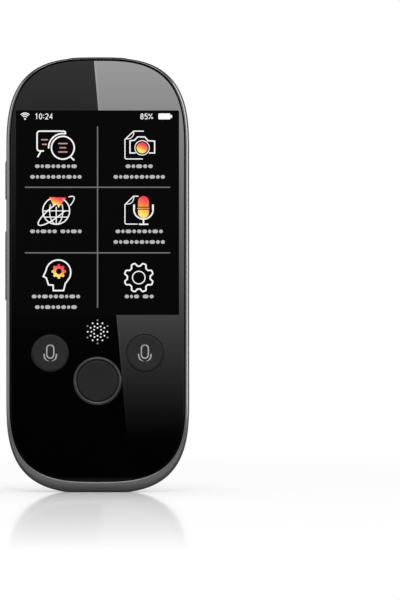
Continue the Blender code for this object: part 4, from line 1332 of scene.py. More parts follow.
@dataclass
class Picture:
    """What the display shows: a menu of six tiles in a plain design of its own."""

    shape: Shape
    window: Point = (0.0476, 0.0597)
    window_z: float = 0.08165
    window_corner: float = 0.0004
    column: float = 0.01215
    rows: Point = (0.10130, 0.01900)
    line_width: float = 0.00036
    icon_line: float = 0.00042
    fine_line: float = 0.00030
    lift: float = 0.000012
    tile_line_z: Point = (0.08907, 0.06993)
    line_reach: float = 0.0212
    upright: Point = (0.0539, 0.1068)
    label_drop: Point = (0.0061, 0.0092)
    label_height: float = 0.00105
    dash_shares: tuple[float, ...] = (1.0, 0.7, 1.2, 0.8, 0.9)
    dash_gap: float = 0.00030
    dash_pitch: float = 0.00155
    status_z: float = 0.10975
    unit: float = 0.0002922
    words: tuple[tuple[tuple[float, ...], ...], ...] = (
        ((0.0122,), (0.0150,)),
        ((0.0079,), (0.0150,)),
        ((0.0078, 0.0062),),
        ((0.0138,), (0.0150,)),
        ((0.0141,), (0.0122,)),
        ((0.0042, 0.0032),),
    )

    def spot(self, across: float, up: float) -> Point:
        """Tile centre for a column of -1 or 1 and a row of 0 to 2."""
        return across * self.column, self.rows[0] - up * self.rows[1]

    def spots(self, origin: Point, *places: Point) -> list[Point]:
        """Places given in units from an origin."""
        return [(origin[0] + u * self.unit, origin[1] + v * self.unit) for u, v in places]

    def pen(self, name: str) -> Pen:
        """A pen on the display's face."""
        return Pen(name, self.shape.front - 2 * self.lift)

    def build(self) -> None:
        """Make the window, lines, labels, status row and the six icons."""
        face = Pen("display_window", self.shape.front, 2 * self.lift)
        face.plate(rounded_box((0.0, self.window_z), self.window, self.window_corner))
        face.done(DISPLAY_FACE, "housing", "front_glass")
        self.lines()
        self.labels()
        self.status()
        white = self.pen("icon_lines")
        self.bubbles(white)
        self.camera(white)
        self.globe(white)
        self.recorder(white)
        self.thinker(white)
        self.settings(white)
        white.done(WHITE_GLOW, "housing", "front_glass")

    def lines(self) -> None:
        """Dividing lines between the tiles."""
        pen = self.pen("tile_lines")
        low, high = self.upright
        pen.stroke([(0.0, low), (0.0, high)], self.line_width)
        for z in self.tile_line_z:
            for side in (-1, 1):
                pen.stroke(
                    [(side * self.line_width / 2, z), (side * self.line_reach, z)], self.line_width
                )
        pen.done(LINE_GLOW, "housing", "front_glass")

    def labels(self) -> None:
        """Plain bars where the tiles have their captions."""
        pen = self.pen("tile_labels")
        for tile, rows in enumerate(self.words):
            x, z = self.spot(-1 if tile % 2 == 0 else 1, tile // 2)
            for row, lengths in enumerate(rows):
                gap = self.label_height
                left = x - (sum(lengths) + gap * (len(lengths) - 1)) / 2
                for length in lengths:
                    self.word(pen, left, z - self.label_drop[row], length)
                    left += length + gap
        pen.done(LABEL_GLOW, "housing", "front_glass")

    def word(self, pen: Pen, left: float, level: float, length: float) -> None:
        """Draw one word of a caption as a row of short dashes, which spell nothing.

        Args:
            pen: Pen of the captions.
            left: Left end of the row.
            level: Height of its middle.
            length: Its length.
        """
        gap = self.dash_gap
        count = max(2, round(length / self.dash_pitch))
        whole = sum(self.dash_shares[index % len(self.dash_shares)] for index in range(count))
        scale = (length - gap * (count - 1)) / whole
        for index in range(count):
            dash = self.dash_shares[index % len(self.dash_shares)] * scale
            pen.bar((left + dash / 2, level), dash, self.label_height)
            left += dash + gap

    def digit(self, pen: Pen, sign: str, left: float) -> None:
        """Draw one digit of the status row.

        Args:
            pen: Pen of the status row.
            sign: The digit.
            left: Place of its left edge.
        """
        width = 2.7 * self.unit
        high = 2.6 * self.unit
        for path in digit_paths(sign):
            spots = [(left + u * width, self.status_z + v * high) for u, v in path]
            pen.stroke(spots, 0.75 * self.unit)

    def status(self) -> None:
        """Signal fan, clock, charge and battery along the top of the window."""
        pen = self.pen("status_row")
        unit = self.unit
        z = self.status_z
        fan = (-72.4 * unit, z - 2.6 * unit)
        pen.plate(circle(fan, 0.9 * unit, 12))
        for radius in (2.6, 4.4, 6.0):
            pen.stroke(arc(fan, radius * unit, 45, 135, 10), 0.95 * unit)
        left = -62.3 * unit
        for sign in "10:24":
            if sign == ":":
                for side in (-1, 1):
                    dot = (left + 0.4 * unit, z + side * 1.3 * unit)
                    pen.plate(circle(dot, 0.5 * unit, 8))
                left += 2.2 * unit
                continue
            self.digit(pen, sign, left)
            left += 4.1 * unit
        left = 43.0 * unit
        for sign in "85":
            self.digit(pen, sign, left)
            left += 4.1 * unit
        pen.stroke([(left, z - 2.8 * unit), (left + 3.4 * unit, z + 2.8 * unit)], 0.7 * unit)
        for side in (-1, 1):
            dot = (left + (1.7 - side * 1.5) * unit, z + side * 1.6 * unit)
            pen.stroke(circle(dot, 0.8 * unit, 10), 0.5 * unit, True)
        pen.plate(rounded_box((66.7 * unit, z), (12.0 * unit, 6.0 * unit), 1.0 * unit, 4))
        pen.plate(rounded_box((73.6 * unit, z), (1.8 * unit, 3.0 * unit), 0.6 * unit, 4))
        pen.done(WHITE_GLOW, "housing", "front_glass")

    def warm(self, name: str, centre: Point, reach: float, draw: Callable[[Pen], None]) -> None:
        """Draw an accent in the warm gradient.

        Args:
            name: Name of the accent's piece.
            centre: Middle of its gradient.
            reach: Half the length of its gradient.
            draw: Function that adds the accent's marks to a pen.
        """
        pen = self.pen(name)
        draw(pen)
        pen.done(WarmGlow(name + "_glow", centre, reach), "housing", "front_glass")

    def bubbles(self, pen: Pen) -> None:
        """A square and a round speech bubble that overlap."""
        x, z = self.spot(-1, 0)
        unit = self.unit
        middle = (x + 6.9 * unit, z - 2.4 * unit)
        radius = 11.4 * unit
        pen.stroke(circle(middle, radius, 48), self.icon_line, True)
        pen.stroke(self.spots(middle, (7.524, -8.892), (11.4, -12.6)), self.icon_line)
        notch = arc(middle, 14.2 * unit, 80, 183, 16)
        corners = [
            *self.spots((x, z), (-11.9, -5.6), (-15.2, -5.6)),
            *arc((x - 16.2 * unit, z - 3.0 * unit), 2.6 * unit, 250, 180, 5),
            *arc((x - 16.2 * unit, z + 11.6 * unit), 2.6 * unit, 180, 90, 5),
            *arc((x + 7.6 * unit, z + 12.2 * unit), 2.0 * unit, 90, 0, 5),
            *notch,
        ]
        pen.stroke(corners, self.icon_line)
        pen.stroke(self.spots((x, z), (-15.0, -5.8), (-18.3, -11.8)), self.icon_line)
        speech = self.pen("speech_bars")
        for row, length in enumerate((7.0, 5.0)):
            spot = (x - 11.4 * unit, z + (5.6 - 4.6 * row) * unit)
            speech.bar(spot, length * unit, 1.3 * unit)
        for row, length in enumerate((9.5, 7.0, 9.5)):
            spot = (middle[0], middle[1] + (4.2 - 4.2 * row) * unit)
            speech.bar(spot, length * unit, 1.3 * unit)
        speech.done(SPEECH_GLOW, "housing", "front_glass")

    def sheet(self, pen: Pen, x: float, z: float, gap_high: float, gap_low: float) -> None:
        """Sheet of paper with a folded corner, open where the other sign covers it.

        Args:
            pen: Pen of the icons.
            x: Middle of the tile.
            z: Middle of the tile.
            gap_high: Where the upper edge stops, in units from the middle.
            gap_low: Where the lower edge stops, in units from the middle.
        """
        unit = self.unit
        path = [
            *self.spots((x, z), (gap_high, 14.2), (-5.6, 14.2), (-14.2, 5.8)),
            *arc((x - 12.6 * unit, z - 12.0 * unit), 1.6 * unit, 180, 270, 5),
            *self.spots((x, z), (gap_low, -13.6)),
        ]
        pen.stroke(path, self.fine_line)
        fold = arc((x - 11.6 * unit, z + 12.6 * unit), 6.2 * unit, 14, -110, 12)
        pen.stroke(fold, self.fine_line * 0.8)

    def camera(self, pen: Pen) -> None:
        """A camera in front of a sheet."""
        x, z = self.spot(1, 0)
        unit = self.unit
        self.sheet(pen, x, z, 4.6, 3.6)
        lens = (x + 2.9 * unit, z - 2.5 * unit)
        left = ((-3.6, -7.6), (-9.2, -7.6), (-9.2, 4.4), (-4.6, 5.2), (-1.6, 8.4))
        right = ((5.6, 8.4), (9.0, 4.6), (15.4, 4.2), (15.4, -7.6), (9.6, -7.6))
        pen.stroke(self.spots((x, z), *left, *right), self.icon_line * 0.85)
        pen.stroke(circle(lens, 7.2 * unit, 40), self.fine_line * 0.8, True)
        disc = circle(lens, 5.5 * unit, 40)
        self.warm("lens_sign", lens, 5.6 * unit, lambda accent: accent.plate(disc))

    def globe(self, pen: Pen) -> None:
        """A globe with an orbit and a paper dart."""
        x, z = self.spot(-1, 1)
        unit = self.unit
        middle = (x + 0.3 * unit, z - 0.4 * unit)
        radius = 13.4 * unit
        pen.stroke(arc(middle, radius, 60, -245, 48), self.icon_line * 0.8)
        pen.stroke(
            [(middle[0], middle[1] + radius * 0.3), (middle[0], middle[1] - radius)], self.fine_line
        )
        for side in (-1, 1):
            meridian = bow(middle, (side * 6.6 * unit, radius), -90, 30)
            pen.stroke(meridian, self.fine_line * 0.9)
        for drop in (0.0, 6.2):
            reach = (13.4**2 - drop**2) ** 0.5 * unit
            level = middle[1] - drop * unit
            pen.stroke([(middle[0] - reach, level), (middle[0] + reach, level)], self.fine_line * 0.9)
        pen.stroke(self.orbit(middle, 72, 288, 27), self.icon_line * 0.8)
        pen.stroke(self.orbit(middle, -52, 36, 11), self.fine_line)
        corners = ((-6.6, 13.4), (10.4, 12.8), (2.6, 2.6), (0.6, 6.6), (-2.4, 4.6))
        dart = self.spots((x, z), *corners)
        heart = (x + 1.0 * unit, z + 8.6 * unit)
        self.warm("dart_sign", heart, 6.0 * unit, lambda accent: accent.plate(dart))

    def orbit(self, middle: Point, first: float, last: float, steps: int) -> list[Point]:
        """Stretch of the tilted orbit round the globe.

        Args:
            middle: Middle of the globe.
            first: Angle of the first point, in degrees.
            last: Angle of the last point.
            steps: Number of stretches between the points.

        Returns:
            Points along the orbit.
        """
        tilt = radians(38)
        flat = bow((0.0, 0.0), (22.5 * self.unit, 5.6 * self.unit), first, last, steps)
        return [
            (
                middle[0] + along * cos(tilt) - aside * sin(tilt),
                middle[1] + along * sin(tilt) + aside * cos(tilt),
            )
            for along, aside in flat
        ]

    def recorder(self, pen: Pen) -> None:
        """A microphone in front of a sheet."""
        x, z = self.spot(1, 1)
        unit = self.unit
        self.sheet(pen, x, z, -0.6, -1.6)
        head = (x + 4.3 * unit, z + 3.4 * unit)
        pen.stroke(arc((head[0], head[1] - 2.4 * unit), 9.6 * unit, 160, 380, 28), self.icon_line)
        for side in (-1, 1):
            arm = self.spots(head, (side * 9.4, 2.6), (side * 9.4, -2.8))
            pen.stroke(arm, self.icon_line * 1.2)
        pen.stroke(self.spots(head, (0.0, -12.2), (0.0, -17.2)), self.icon_line)
        pen.stroke(self.spots(head, (-4.6, -17.2), (4.8, -17.2)), self.icon_line)

        def capsule(accent: Pen) -> None:
            """Upper and lower half of the capsule with the band between them."""
            for side, level, first in ((1, 0.3, 0), (-1, -2.6, 180)):
                middle = (head[0], head[1] + side * 5.4 * unit)
                end = arc(middle, 5.5 * unit, first, first + 180, 16)
                start, stop = self.spots(head, (side * 5.5, level), (-side * 5.5, level))
                accent.plate([start, *end, stop])
            accent.stroke(self.spots(head, (-6.05, -1.2), (6.05, -1.2)), 1.1 * unit)

        self.warm("capsule_sign", head, 13.0 * unit, capsule)

    def toothed(self, centre: Point, outer: float, inner: float, teeth: int) -> list[Point]:
        """Outline of a wheel with rounded teeth.

        Args:
            centre: Middle of the wheel.
            outer: Radius at the teeth's tips.
            inner: Radius between the teeth.
            teeth: Number of teeth.

        Returns:
            Points round the wheel.
        """
        points = []
        for index in range(teeth * 12):
            turn = 2 * pi * index / (teeth * 12)
            swing = max(-1.0, min(1.0, -1.7 * cos(teeth * turn)))
            radius = (outer + inner) / 2 + (outer - inner) / 2 * swing
            points.append((centre[0] + radius * sin(turn), centre[1] + radius * cos(turn)))
        return points

    def thinker(self, pen: Pen) -> None:
        """A head in plain outline with a small toothed wheel in it."""
        x, z = self.spot(-1, 2)
        unit = self.unit
        skull = arc((x + 2.4 * unit, z + 3.2 * unit), 12.4 * unit, 172, -28, 28)
        neck = ((9.4, -8.0), (7.6, -15.0), (-2.6, -15.0))
        face = ((-2.8, -9.6), (-7.4, -9.2), (-9.6, -2.4), (-12.6, -0.8))
        pen.stroke(skull + self.spots((x, z), *neck, *face), self.icon_line, True)
        wheel = (x + 2.9 * unit, z + 4.2 * unit)

        def gear(accent: Pen) -> None:
            """Toothed ring as a closed stroke with teeth on it."""
            accent.stroke(circle(wheel, 4.3 * unit, 32), 3.0 * unit, True)
            for tooth in range(8):
                turn = 2 * pi * tooth / 8
                ends = ((reach * sin(turn), reach * cos(turn)) for reach in (5.4, 7.2))
                accent.stroke(self.spots(wheel, *ends), 2.4 * unit)

        self.warm("wheel_sign", wheel, 7.0 * unit, gear)

    def settings(self, pen: Pen) -> None:
        """A toothed wheel in outline round a thin ring."""
        x, z = self.spot(1, 2)
        unit = self.unit
        wheel = (x - 0.4 * unit, z - 2.0 * unit)
        pen.stroke(self.toothed(wheel, 14.6 * unit, 11.4 * unit, 8), self.icon_line, True)
        pen.stroke(circle(wheel, 6.3 * unit, 32), self.fine_line, True)


@dataclass
class Indicator:
    """Rings of lit dots below the display."""

    shape: Shape
    centre: Point = (0.0, 0.0469)
    radii: tuple[float, ...] = (0.00117, 0.00177, 0.00231, 0.00286, 0.00338)
    dot: float = 0.00024
    per_ring: int = 6

    def build(self) -> None:
        """Draw the four bright rings and the fainter outer one."""
        bright = Pen("indicator_dots", self.shape.front)
        faint = Pen("indicator_dots_outer", self.shape.front)
        for ring, radius in enumerate(self.radii):
            outermost = ring == len(self.radii) - 1
            first = pi / self.per_ring * ((ring + 1) % 2)
            for index in range(self.per_ring):
                turn = first + 2 * pi * index / self.per_ring
                spot = (
                    self.centre[0] + radius * cos(turn),
                    self.centre[1] + radius * sin(turn),
                )
                (faint if outermost else bright).plate(circle(spot, self.dot, 14))
        bright.done(DOT_GLOW, "housing", "white_plastic")
        faint.done(FAINT_DOT_GLOW, "housing", "white_plastic")


@dataclass
class FrontButtons:
    """Two talk buttons with printed microphones, and the home button in its bright ring."""

    shape: Shape
    talk_x: float = 0.0138
    talk_z: float = 0.0407
    talk_radius: float = 0.0053
    home_z: float = 0.0326
    home_radius: float = 0.00595
    ring_inner: float = 0.00623
    ring_outer: float = 0.00685
    ring_proud: float = 0.00005
    ring_foot: float = -0.0051
    ring_bead: float = 0.00016
    ring_shelf: float = 0.00095
    ring_flange: float = 0.0006
    ring_colour: Colour = (0.105, 0.105, 0.108)
    dish: float = 0.00006
    edge: float = 0.00022
    talk_flange: Point = (0.0006, -0.0048)
    home_flange: Point = (0.0007, -0.00455)
    flange_thickness: float = 0.0004
    mark_lift: float = 0.93
    unit: float = 0.0002922

    def cap(self, name: str, centre: Point, radius: float, flange: Point) -> bpy.types.Object:
        """Turned cap with a dished face, a rounded edge and a flange behind the glass.

        Args:
            name: Name of the piece.
            centre: Middle of the button.
            radius: Radius of its face.
            flange: How far the flange reaches past the face, and the place of its back.

        Returns:
            The cap.
        """
        front = self.shape.front
        lip = radius - self.edge
        reach, back = flange
        profile = [
            (lip * step / 6, front + self.dish * (1 - (step / 6) ** 2)) for step in range(1, 7)
        ]
        for step in range(1, 7):
            turn = pi / 12 * step
            profile.append((lip + self.edge * sin(turn), front + self.edge * (1 - cos(turn))))
        profile += [
            (radius, back - self.flange_thickness),
            (radius + reach, back - self.flange_thickness),
            (radius + reach, back),
        ]
        return turned(name, centre, profile)

    def microphone(self, name: str, x: float, body: str) -> None:
        """Printed microphone in outline on a talk button.

        Args:
            name: Name of the mark's piece.
            x: Middle of the button.
            body: Body that the mark moves with.
        """
        unit = self.unit
        pen = Pen(name, self.shape.front + self.dish * self.mark_lift)
        z = self.talk_z
        top = (x, z + 4.6 * unit)
        low = (x, z - 1.6 * unit)
        path = arc(top, 3.5 * unit, 0, 180, 14) + arc(low, 3.5 * unit, 180, 360, 14)
        pen.stroke(path, 1.35 * unit, True)
        for side in (-1, 1):
            run = bow((x, z - 1.8 * unit), (side * 6.2 * unit, -7.0 * unit), -8, 76, 14)
            pen.stroke(run, 1.35 * unit)
        pen.done(ICON_INK, body, "button_plastic")

    def build(self) -> None:
        """Make the caps, their marks and the ring."""
        for side, label in ((-1, "left"), (1, "right")):
            spot = (side * self.talk_x, self.talk_z)
            cap = self.cap("talk_cap_" + label, spot, self.talk_radius, self.talk_flange)
            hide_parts("talk_button_" + label)
            dress(cap, BUTTON_PLASTIC, label + "_talk_button")
            self.microphone("talk_mark_" + label, side * self.talk_x, label + "_talk_button")
        centre = (0.0, self.home_z)
        home = self.cap("home_cap", centre, self.home_radius, self.home_flange)
        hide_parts("home_button")
        dress(home, HOME_PLASTIC, "home_button")
        self.ring(centre)

    def ring(self, centre: Point) -> None:
        """Turn the bright ring round the home button, with its flange behind the glass.

        Args:
            centre: Middle of the home button.
        """
        front = self.shape.front
        middle = (self.ring_inner + self.ring_outer) / 2
        half = (self.ring_outer - self.ring_inner) / 2
        profile = [(self.ring_inner, self.ring_foot)]
        for step in range(9):
            turn = pi * step / 8
            rise = (self.ring_bead + self.ring_proud) * sin(turn)
            profile.append((middle - half * cos(turn), front + self.ring_bead - rise))
        profile += [
            (self.ring_outer, front + self.ring_shelf),
            (self.ring_outer + self.ring_flange, front + self.ring_shelf),
            (self.ring_outer + self.ring_flange, self.ring_foot),
        ]
        ring = turned("home_ring", centre, profile, closed=True, steps=128)
        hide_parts("home_button_ring")
        finish = TurnedMetal("turned_ring_metal", self.ring_colour, centre)
        dress(ring, finish, "housing")


@dataclass
class SideKeys:
    """Power key and volume key with softly crowned faces."""

    shape: Shape
    key_y: float = -0.0006
    width: float = 0.0022
    proud: float = 0.00047
    edge: float = 0.00028
    crown: float = 0.00002
    flange: float = 0.0005
    flange_x: tuple[float, float] = (-0.0249, -0.0245)
    keys: tuple[tuple[str, str, float, float], ...] = (
        ("power_key", "power_key", 0.0912, 0.0113),
        ("volume_key", "volume_key", 0.0662, 0.0203),
    )

    def ring(self, span: Point, grow: float, x: float) -> Ring:
        """Pill outline of a key.

        Args:
            span: Middle and length of the key along Z.
            grow: How far the outline is moved outwards.
            x: Place of the ring across.

        Returns:
            The outline in space.
        """
        centre, length = span
        width = self.width + 2 * grow
        size = (width, length + 2 * grow)
        return section("X", rounded_box((self.key_y, centre), size, width / 2 - 1e-6, 14), x)

    def build(self) -> None:
        """Loft each key from its face to its flange."""
        face = -self.shape.width / 2 - self.proud
        for node, body, *span in self.keys:
            rings = [self.ring(span, -self.edge * 2.6, face)]
            for step in range(7):
                turn = pi / 12 * step
                place = face + self.crown + self.edge * (1 - cos(turn))
                rings.append(self.ring(span, -self.edge * (1 - sin(turn)), place))
            rings += [
                self.ring(span, 0.0, self.flange_x[0]),
                self.ring(span, self.flange, self.flange_x[0]),
                self.ring(span, self.flange, self.flange_x[1]),
            ]
            key = loft(node + "_cap", rings)
            polish(key)
            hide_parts(node)
            dress(key, KEY_METAL, body)


@dataclass
class RearCover:
    """Moulded shell with rolled edges, flared speaker holes and the camera's well."""

    shape: Shape
    start: float = 0.0023
    tuck: float = 0.0006
    wall: float = 0.0012
    lip: float = 0.00016
    lip_length: float = 0.0008
    shoulder: float = 0.0066
    exponent: float = 2.3
    steps: int = 18
    camera: Point = (0.0, 0.0922)
    well: float = 0.00505
    grille_z: float = 0.0950
    first_radius: float = 0.0069
    arc_step: float = 0.00126
    arcs: int = 9
    angle_step: float = radians(18)
    half_count: int = 3
    hole: float = 0.0005
    flare: float = 0.00012
    hole_shares: tuple[float, ...] = (0.9, 1.0, 1.0, 1.0, 1.0, 0.95, 0.85, 0.75, 0.65)

    def profile(self, inset: float, shoulder: float, back: float) -> list[Point]:
        """Section of the shell's wall, from its edge to the flat back.

        Args:
            inset: Inset of the edge from the silhouette.
            shoulder: Inset where the flat back starts.
            back: Place of the flat back.

        Returns:
            Insets and places along the wall.
        """
        made = []
        for step in range(self.steps + 1):
            turn = pi / 2 * step / self.steps
            across = 1 - cos(turn) ** (2 / self.exponent)
            along = sin(turn) ** (2 / self.exponent)
            place = self.start + along * (back - self.start)
            made.append((inset + across * (shoulder - inset), place))
        return made

    def hole_places(self) -> list[tuple[float, float, float]]:
        """Lay the speaker holes out on staggered arcs.

        Returns:
            Centre and radius of each hole.
        """
        places = []
        for index in range(self.arcs):
            radius = self.first_radius + index * self.arc_step
            extra = index % 2
            for number in range(2 * self.half_count + 1 + extra):
                turn = (number - self.half_count - extra / 2) * self.angle_step
                size = self.hole * self.hole_shares[index]
                places.append((radius * sin(turn), self.grille_z + radius * cos(turn), size))
        return places

    def build(self) -> None:
        """Loft the shell, then bore the holes and the well."""
        back = self.shape.back
        outer = self.profile(self.tuck, self.shoulder, back)
        inner = self.profile(self.tuck + self.wall, self.shoulder + self.wall, back - self.wall)
        rings = [section("Y", self.shape.outer(inset), y) for inset, y in reversed(outer)]
        lip = (
            (self.tuck + self.wall - self.lip, self.start),
            (self.tuck + self.wall - self.lip, self.start - self.lip_length),
            (self.tuck + self.wall + self.lip, self.start - self.lip_length),
        )
        rings += [section("Y", self.shape.outer(inset, False), y) for inset, y in (*lip, *inner)]
        cover = loft("cover_shell", rings)
        work = bmesh.new()
        for x, z, radius in self.hole_places():
            profile = (
                (radius + 2 * self.flare, back + self.flare),
                (radius + 0.4 * self.flare, back - 0.6 * self.flare),
                (radius, back - 1.6 * self.flare),
                (radius, back - self.wall - OVERRUN),
            )
            add_loft(work, [section("Y", circle((x, z), size, 20), y) for size, y in profile])
        holes = to_object("holes", work)
        well = turned(
            "well",
            self.camera,
            [
                (self.well + 2 * self.flare, back + self.flare),
                (self.well, back - self.flare),
                (self.well, back - self.wall - OVERRUN),
            ],
        )
        carve(cover, holes, well)
        polish(cover)
        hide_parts("rear_cover")
        dress(cover, COVER_PAINT, "housing")


@dataclass
class Camera:
    """Camera: bezel, window, barrel with a bright lip, coated lens and pupil."""

    shape: Shape
    centre: Point = (0.0, 0.0922)
    outer: float = 0.00485
    inner: float = 0.0039
    bottom: float = 0.0014
    window: float = 0.0037
    sink: float = 0.0004
    window_thickness: float = 0.0005
    window_edge: float = 0.00008
    lip: float = 0.0032
    rounding: float = 0.0003
    rounding_turns: tuple[float, ...] = (0, 22, 45, 68, 90)
    throat: tuple[Point, ...] = ((0.00030, 0.0), (0.00008, 0.00010))
    seat_gap: float = 0.00015
    barrel_gap: float = 0.00004
    barrel_wall: tuple[Point, ...] = (
        (0.00315, 0.00106),
        (0.00315, 0.0),
        (0.00290, 0.0),
        (0.00262, 0.0003),
        (0.00255, 0.00106),
    )
    lip_wall: tuple[Point, ...] = (
        (0.00262, 0.00106),
        (0.00262, 0.00032),
        (0.00256, 0.00024),
        (0.00246, 0.0003),
        (0.00246, 0.00106),
    )
    lens_drop: float = 0.00022
    lens_rings: tuple[Point, ...] = ((0.00236, 0.00182), (0.00177, 0.00132), (0.00127, 0.00092))
    lens_step: Point = (0.00002, 0.00012)
    tilts: Point = (0.05, 0.50)
    shares: tuple[float, ...] = (1.0, 0.75, 0.5, 0.25, 0.0)
    pupil_gap: float = 0.00006
    pupil_drop: float = 0.0003
    pupil_rise: float = 0.4
    pupil_turn: float = radians(60)

    def build(self) -> None:
        """Make the pieces from the bezel inwards."""
        back = self.shape.back
        window_back = back - self.sink
        window_front = window_back - self.window_thickness
        seat = window_front - self.seat_gap
        profile = [(self.outer, back - self.bottom)]
        for turn in map(radians, self.rounding_turns):
            inset = self.rounding * (1 - cos(turn))
            profile.append((self.outer - inset, back - self.rounding * (1 - sin(turn))))
        profile += [(self.inner + reach, back - drop) for reach, drop in self.throat]
        profile += [
            (self.inner, window_back),
            (self.inner, seat),
            (self.lip, seat),
            (self.lip, back - self.bottom),
        ]
        bezel = turned("camera_surround", self.centre, profile, closed=True, steps=128)
        polish(bezel)
        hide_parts("camera_bezel")
        dress(bezel, BEZEL_METAL, "housing")
        edge = self.window_edge
        profile = [
            (self.window, window_front),
            (self.window, window_back - edge),
            (self.window - edge, window_back),
        ]
        pane = turned("camera_pane", self.centre, profile, steps=128)
        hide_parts("camera_window")
        dress(pane, WINDOW_GLASS, "housing")
        top = window_front - self.barrel_gap
        self.hollow("lens_barrel", self.barrel_wall, top, BEZEL_METAL)
        self.hollow("lens_lip", self.lip_wall, top, LENS_RING_METAL)
        self.glasses(top)

    def hollow(self, name: str, wall: Sequence[Point], top: float, finish: Finish) -> None:
        """Turn one ring of the barrel under the window.

        Args:
            name: Name of the ring.
            wall: Radii of its section, and how far they lie below the top.
            top: Place of the barrel's top.
            finish: Its finish.
        """
        profile = [(radius, top - drop) for radius, drop in wall]
        ring = turned(name, self.centre, profile, closed=True, steps=128)
        polish(ring)
        dress(ring, finish, "housing")

    def glasses(self, top: float) -> None:
        """Turn the lens with its rings, and the pupil in it.

        Args:
            top: Place of the barrel's top.
        """
        level = top - self.lens_drop
        profile = [(self.lens_rings[0][0], top - self.barrel_wall[0][1])]
        for outer, inner in self.lens_rings:
            width = outer - inner
            bend = (self.tilts[1] - self.tilts[0]) / (2 * width)
            for share in self.shares:
                run = width * share
                profile.append((inner + run, level - self.tilts[0] * run - bend * run**2))
            profile.append((inner - self.lens_step[0], level - self.lens_step[1]))
        lens = turned("lens_dome", self.centre, profile, steps=128)
        polish(lens)
        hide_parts("camera_lens")
        dress(lens, LENS_COATING, "housing")
        pupil = self.lens_rings[-1][1] - self.pupil_gap
        foot = level - self.pupil_drop
        dome = [(pupil, foot)]
        for step in range(8):
            turn = self.pupil_turn * (1 - step / 8)
            radius = pupil * sin(turn) / sin(self.pupil_turn)
            dome.append((radius, foot + self.pupil_rise * pupil * cos(turn)))
        eye = turned("lens_pupil", self.centre, dome, steps=64)
        dress(eye, PUPIL_GLASS, "housing")


@dataclass
class ChargingSocket:
    """Drawn steel shell of the socket, and the contact strips on its tongue."""

    shape: Shape
    width: float = 0.00894
    height: float = 0.00326
    wall: float = 0.0003
    centre_y: float = -0.0014
    low: float = 0.0003
    high: float = 0.0077
    tongue: tuple[float, float, float] = (0.0067, 0.0007, 0.0012)
    contacts: int = 10
    contact: Point = (0.00026, 0.00006)
    contact_round: float = 0.00002
    contact_span: float = 0.86
    contact_ends: Point = (0.0006, 0.0008)

    def ring(self, inset: float, z: float) -> Ring:
        """Outline of the shell, moved inwards, at one height."""
        size = (self.width - 2 * inset, self.height - 2 * inset)
        return section("Z", rounded_box((0.0, self.centre_y), size, size[1] / 2, 16), z)

    def build(self) -> None:
        """Make the shell and the contacts on the tongue."""
        wall = self.wall
        places = (
            (0.0, self.high),
            (0.0, self.low + wall * 0.3),
            (wall * 0.3, self.low),
            (wall * 0.7, self.low),
            (wall, self.low + wall * 0.4),
            (wall, self.high - 2 * wall),
        )
        shell = loft("socket_case", [self.ring(inset, z) for inset, z in places])
        polish(shell)
        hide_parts("socket_shell")
        dress(shell, SPRING_STEEL, "housing")
        width, thickness, tip = self.tongue
        start = tip + self.contact_ends[0]
        end = self.high - self.contact_ends[1]
        work = bmesh.new()
        for side in (-1, 1):
            y = self.centre_y + side * thickness / 2
            for index in range(self.contacts):
                x = width * self.contact_span * (index / (self.contacts - 1) - 0.5)
                strip = rounded_box((x, y), self.contact, self.contact_round, 2)
                add_loft(work, [section("Z", strip, start), section("Z", strip, end)])
        contacts = to_object("socket_contacts", work)
        dress(contacts, GOLD_CONTACT, "housing")


@dataclass
class Interior:
    """Finishes of the CAD nodes that keep their meshes."""

    finishes: tuple[tuple[Finish, tuple[str, ...]], ...] = (
        (DISPLAY_FACE, ("display_panel",)),
        (TRAY_STEEL, ("backlight_tray",)),
        (GUIDE_CLEAR, ("light_guide",)),
        (WHITE_PLASTIC, ("indicator_lamp", "talk_left_plunger", "talk_right_plunger")),
        (WHITE_PLASTIC, ("home_plunger", "power_plunger", "battery_socket")),
        (SPRING_STEEL, ("talk_left_switch", "talk_right_switch", "home_switch")),
        (SPRING_STEEL, ("power_switch", "volume_up_switch", "volume_down_switch")),
        (SPRING_STEEL, tuple(f"board_screw_{number}" for number in (1, 2, 3, 4))),
        (SPRING_STEEL, ("socket_screw_1", "socket_screw_2")),
        (BOARD_GREEN, ("button_board", "main_board", "socket_board")),
        (FLEX_FILM, ("button_flex", "display_flex", "camera_flex", "aerial")),
        (DARK_PLASTIC, ("camera_module", "camera_socket", "loudspeaker")),
        (DARK_PLASTIC, ("charging_chip", "socket_tongue")),
        (WIRE_CLOTH, ("speaker_mesh",)),
        (SOFT_RUBBER, ("speaker_gasket", "battery_lead", "microphone_boot")),
        (SHIELD_STEEL, ("processor_shield", "radio_module", "microphone")),
        (POUCH_FOIL, ("battery",)),
    )

    def dress(self, nodes: Mapping[str, bpy.types.Object]) -> None:
        """Put each finish in its nodes' material slots.

        Args:
            nodes: The frame's nodes by name.
        """
        for finish, names in self.finishes:
            for name in names:
                for slot in nodes[name].material_slots:
                    slot.material = finish.material()
                LOG.info("dressed %s", name)


@dataclass
class Lamp:
    """One soft area lamp that looks at the object."""

    name: str
    place: tuple[float, float, float]
    size: Point
    power: float

    def build(self, target: Vector) -> None:
        """Make the lamp and turn it to the target."""
        light = bpy.data.lights.new(self.name, "AREA")
        light.shape = "RECTANGLE"
        light.size, light.size_y = self.size
        light.energy = self.power
        lamp = bpy.data.objects.new(self.name, light)
        bpy.context.scene.collection.objects.link(lamp)
        lamp.location = self.place
        lamp.rotation_mode = "QUATERNION"
        lamp.rotation_quaternion = (target - Vector(self.place)).to_track_quat("-Z", "Y")
        LOG.info("lit %s", self.name)


